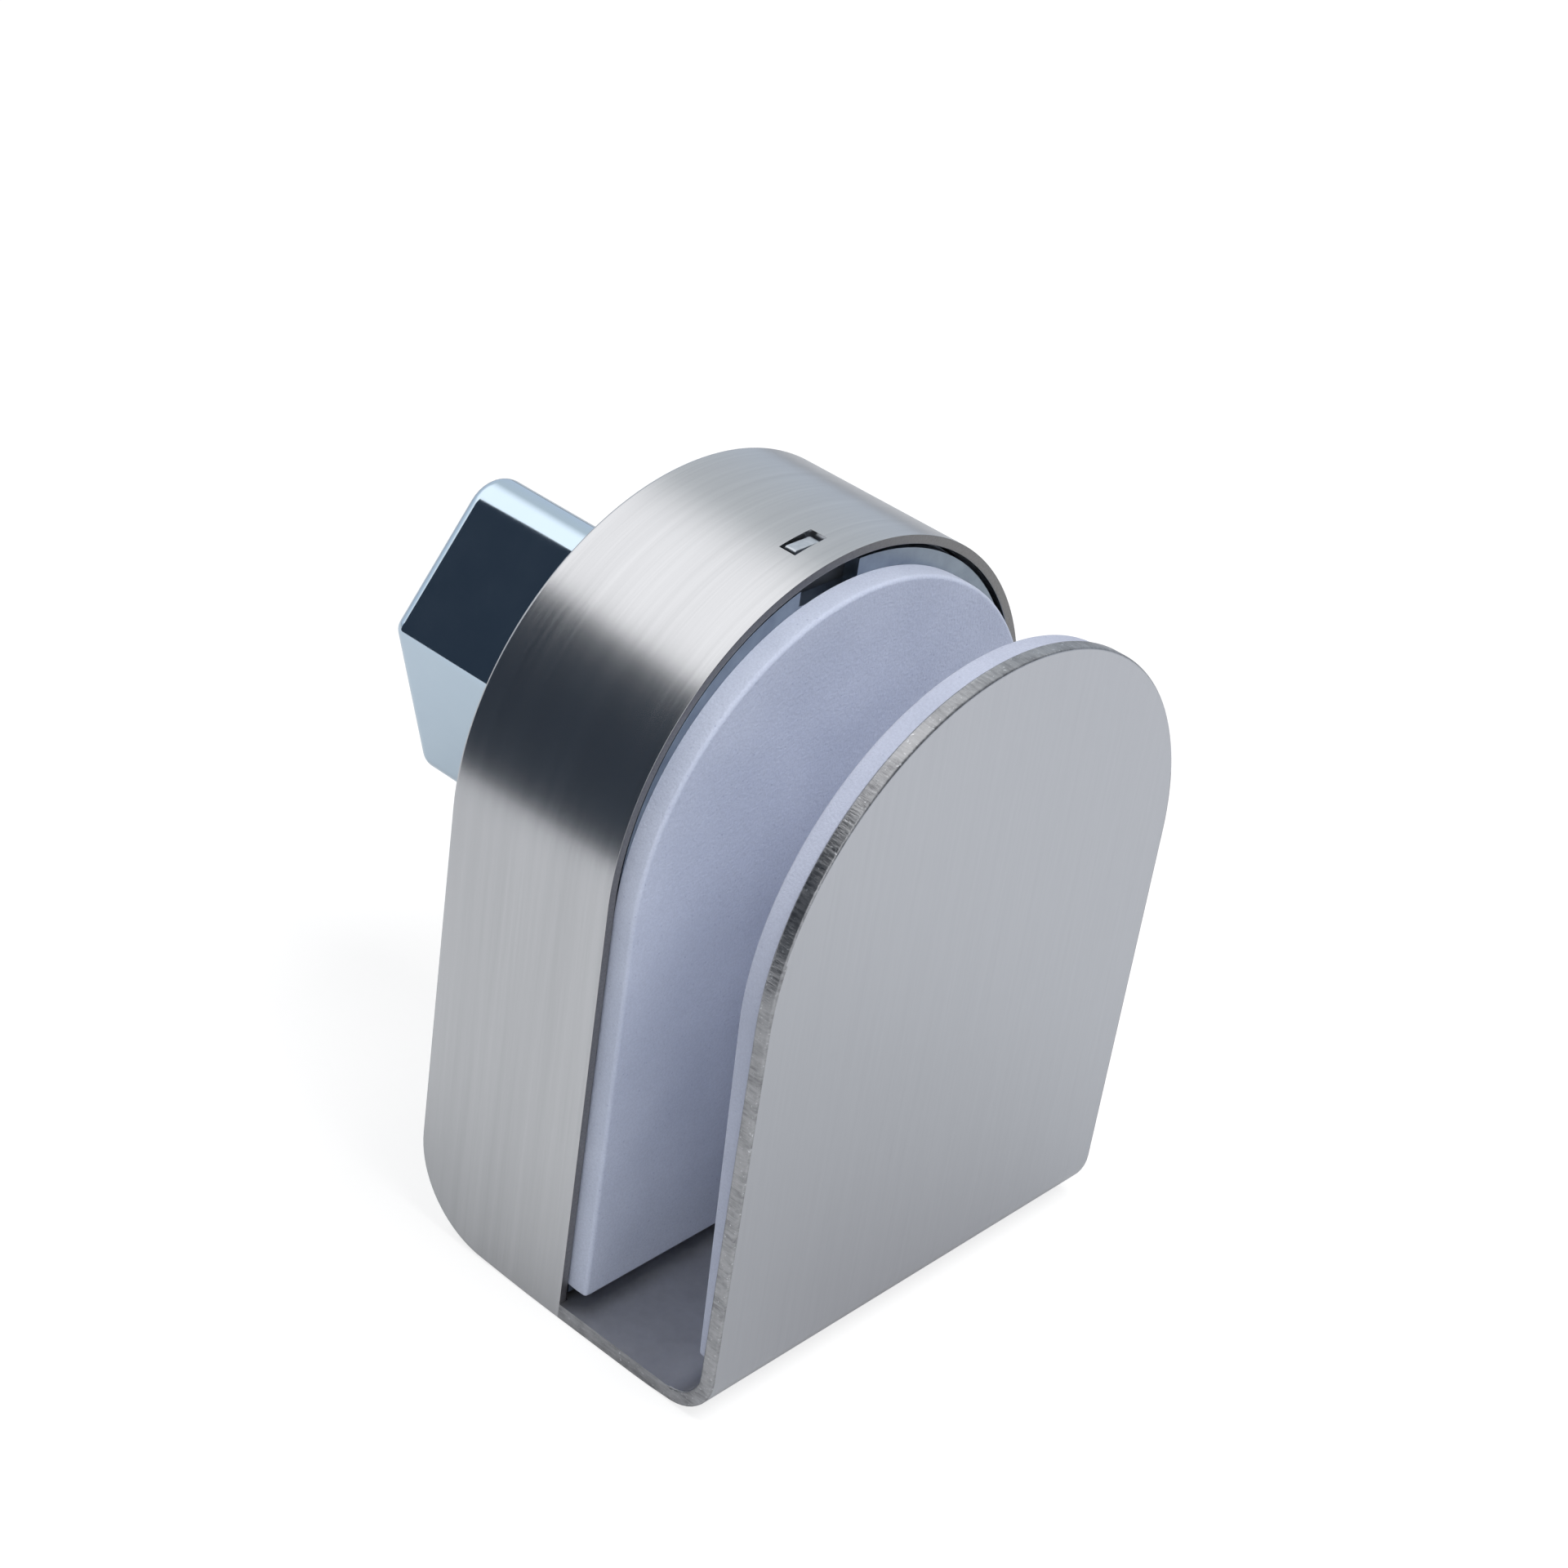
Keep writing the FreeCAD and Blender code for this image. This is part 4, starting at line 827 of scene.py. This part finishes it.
def make_floor():
    """Pale floor; seen by the camera it is paper white, and only the shadow tones it. Seen in the metal, its
    colour holds a painted shadow, darkest beneath the lock and fading outwards.
    """
    size, depth = 3.0, -0.0001
    floor = plane_piece("studio_floor", [(-size, -size, depth), (size, -size, depth),
                                         (size, size, depth), (-size, size, depth)])
    material = bpy.data.materials.new("studio_floor")
    material.use_nodes = True
    tree = material.node_tree
    shader = tree.nodes["Principled BSDF"]
    shader.inputs["Roughness"].default_value = 0.9
    shader.inputs["Specular IOR Level"].default_value = 0.0
    where = node(tree, "ShaderNodeTexCoord")
    away = node(tree, "ShaderNodeVectorMath", operation="LENGTH")
    tree.links.new(where.outputs["Object"], away.inputs[0])
    # Painted shadow round the lock: the floor's own colour darkens from 0.70 beyond 150 mm to 0.50 within 10
    # mm of the origin, and only reflections see it
    near = span(tree, away.outputs["Value"], 0.010, 0.036, 0.0, 1.0)
    painted_shadow_fade = span(tree, away.outputs["Value"], 0.045, 0.15, 0.0, 1.0)
    painted_shadow_tone = mix(tree, near, (0.50, 0.50, 0.51, 1), (0.64, 0.65, 0.66, 1))
    tree.links.new(mix(tree, painted_shadow_fade, painted_shadow_tone, (0.70, 0.71, 0.73, 1)), shader.inputs["Base Color"])
    faint = node(tree, "ShaderNodeBsdfDiffuse")
    faint.inputs["Color"].default_value = (0.30, 0.30, 0.30, 1)
    glow = node(tree, "ShaderNodeEmission")
    glow.inputs["Strength"].default_value = 0.77
    paper = node(tree, "ShaderNodeAddShader")
    tree.links.new(faint.outputs[0], paper.inputs[0])
    tree.links.new(glow.outputs[0], paper.inputs[1])
    path = node(tree, "ShaderNodeLightPath")
    choice = node(tree, "ShaderNodeMixShader")
    tree.links.new(path.outputs["Is Camera Ray"], choice.inputs[0])
    tree.links.new(shader.outputs[0], choice.inputs[1])
    tree.links.new(paper.outputs[0], choice.inputs[2])
    tree.links.new(choice.outputs[0], tree.nodes["Material Output"].inputs["Surface"])
    floor.data.materials.append(material)


def make_dark_card():
    """Dark card standing behind on the left, which only polished metal shows."""
    foot = Vector((-0.140, 0.105, 0.0))
    along = Vector((0.57, 0.82, 0.0)).normalized()
    towards_front, towards_back = 0.22, 0.085
    a, b = foot - along * towards_front, foot + along * towards_back
    top = Vector((0, 0, 0.205))
    card = plane_piece("dark_card", [tuple(a), tuple(b), tuple(b + top), tuple(a + top)])
    material = bpy.data.materials.new("dark_card")
    material.use_nodes = True
    tree = material.node_tree
    tree.nodes.remove(tree.nodes["Principled BSDF"])
    shade = node(tree, "ShaderNodeEmission")
    shade.inputs["Color"].default_value = (0.029, 0.040, 0.057, 1)
    tree.links.new(shade.outputs[0], tree.nodes["Material Output"].inputs["Surface"])
    card.data.materials.append(material)
    card.visible_camera = False
    card.visible_diffuse = False
    card.visible_shadow = False
    card.visible_transmission = False


def area_lamp(name, place, aim, size, power, height=None):
    """Softbox aimed at a point, square unless it has a height of its own."""
    data = bpy.data.lights.new(name, "AREA")
    data.energy = power
    data.size = size
    if height:
        data.shape = "RECTANGLE"
        data.size_y = height
    lamp = bpy.data.objects.new(name, data)
    lamp.location = place
    lamp.rotation_mode = "QUATERNION"
    lamp.rotation_quaternion = (Vector(aim) - Vector(place)).to_track_quat("-Z", "Y")
    bpy.context.scene.collection.objects.link(lamp)
    return lamp


def make_surroundings():
    """The camera sees white; metal sees a pale room, greyer towards the horizon; the rest gets soft light."""
    world = bpy.data.worlds.new("studio")
    world.use_nodes = True
    tree = world.node_tree
    soft = tree.nodes["Background"]
    soft.inputs["Color"].default_value = (0.75, 0.77, 0.80, 1)
    soft.inputs["Strength"].default_value = 0.48
    where = node(tree, "ShaderNodeTexCoord")
    parts = node(tree, "ShaderNodeSeparateXYZ")
    tree.links.new(where.outputs["Generated"], parts.inputs[0])
    rise = span(tree, parts.outputs["Z"], 0.0, 0.6, 0.0, 1.0)
    above = mix(tree, rise, (0.56, 0.63, 0.73, 1), (0.62, 0.66, 0.69, 1))
    in_front = node(tree, "ShaderNodeMath", operation="MULTIPLY")
    tree.links.new(span(tree, parts.outputs["Y"], -0.25, -0.50, 0.0, 1.0), in_front.inputs[0])
    tree.links.new(span(tree, parts.outputs["Z"], 0.05, 0.30, 0.0, 1.0), in_front.inputs[1])
    sky = mix(tree, in_front.outputs[0], above, (0.14, 0.145, 0.16, 1))
    towards = node(tree, "ShaderNodeVectorMath", operation="DOT_PRODUCT")
    tree.links.new(where.outputs["Generated"], towards.inputs[0])
    towards.inputs[1].default_value = Vector((-0.20, 0.58, 0.79)).normalized()
    glow = node(tree, "ShaderNodeMapRange", interpolation_type="SMOOTHSTEP")
    glow.inputs["From Min"].default_value = 0.72
    glow.inputs["From Max"].default_value = 0.95
    tree.links.new(towards.outputs["Value"], glow.inputs["Value"])
    room = node(tree, "ShaderNodeBackground")
    tree.links.new(mix(tree, glow.outputs["Result"], sky, (1.25, 1.26, 1.28, 1)), room.inputs["Color"])
    white = node(tree, "ShaderNodeBackground")
    white.inputs["Color"].default_value = (1, 1, 1, 1)
    path = node(tree, "ShaderNodeLightPath")
    shown = node(tree, "ShaderNodeMath", operation="MAXIMUM")
    tree.links.new(path.outputs["Is Glossy Ray"], shown.inputs[0])
    tree.links.new(path.outputs["Is Transmission Ray"], shown.inputs[1])
    metal = node(tree, "ShaderNodeMixShader")
    tree.links.new(shown.outputs[0], metal.inputs[0])
    tree.links.new(soft.outputs[0], metal.inputs[1])
    tree.links.new(room.outputs[0], metal.inputs[2])
    choice = node(tree, "ShaderNodeMixShader")
    tree.links.new(path.outputs["Is Camera Ray"], choice.inputs[0])
    tree.links.new(metal.outputs[0], choice.inputs[1])
    tree.links.new(white.outputs[0], choice.inputs[2])
    tree.links.new(choice.outputs[0], tree.nodes["World Output"].inputs["Surface"])
    return world


make_floor()
make_dark_card()
scene = bpy.context.scene
scene.view_settings.view_transform = "Standard"
scene.world = make_surroundings()

target = (0, 0.01, 0.035)
area_lamp("key_softbox", (0.06, -0.30, 0.86), target, 0.45, 4.8, height=0.45).visible_glossy = False
area_lamp("side_softbox", (-0.65, -0.35, 0.42), target, 0.4, 0.9, height=0.5)
area_lamp("overhead_softbox", (-0.18, 0.50, 0.72), target, 0.34, 1.5).visible_glossy = False

# Camera fitted to the photo: place, three directions, and focal length and optical centre in pixels
FRAME_PX = 1920
FOCAL_PX = 4200.387
CENTRE_PX = (979.491, 1146.407)
SENSOR = 36.0
eye = Vector((-200.424, -146.620, 200.955)) * MM
forward = Vector((0.65629937, 0.50818112, -0.55769443))
right = Vector((0.6749482, -0.72579244, 0.13292953))
up = Vector((0.33721812, 0.46365642, 0.81933306))
camera_data = bpy.data.cameras.new("camera")
camera = bpy.data.objects.new("camera", camera_data)
scene.collection.objects.link(camera)
camera.matrix_world = Matrix((
    (right.x, up.x, -forward.x, eye.x),
    (right.y, up.y, -forward.y, eye.y),
    (right.z, up.z, -forward.z, eye.z),
    (0, 0, 0, 1)))
camera_data.sensor_width = SENSOR
camera_data.lens = FOCAL_PX * SENSOR / FRAME_PX
camera_data.shift_x = (FRAME_PX / 2 - CENTRE_PX[0]) / FRAME_PX
camera_data.shift_y = (CENTRE_PX[1] - FRAME_PX / 2) / FRAME_PX
camera_data.clip_start = 0.01
camera_data.clip_end = 20.0
scene.camera = camera
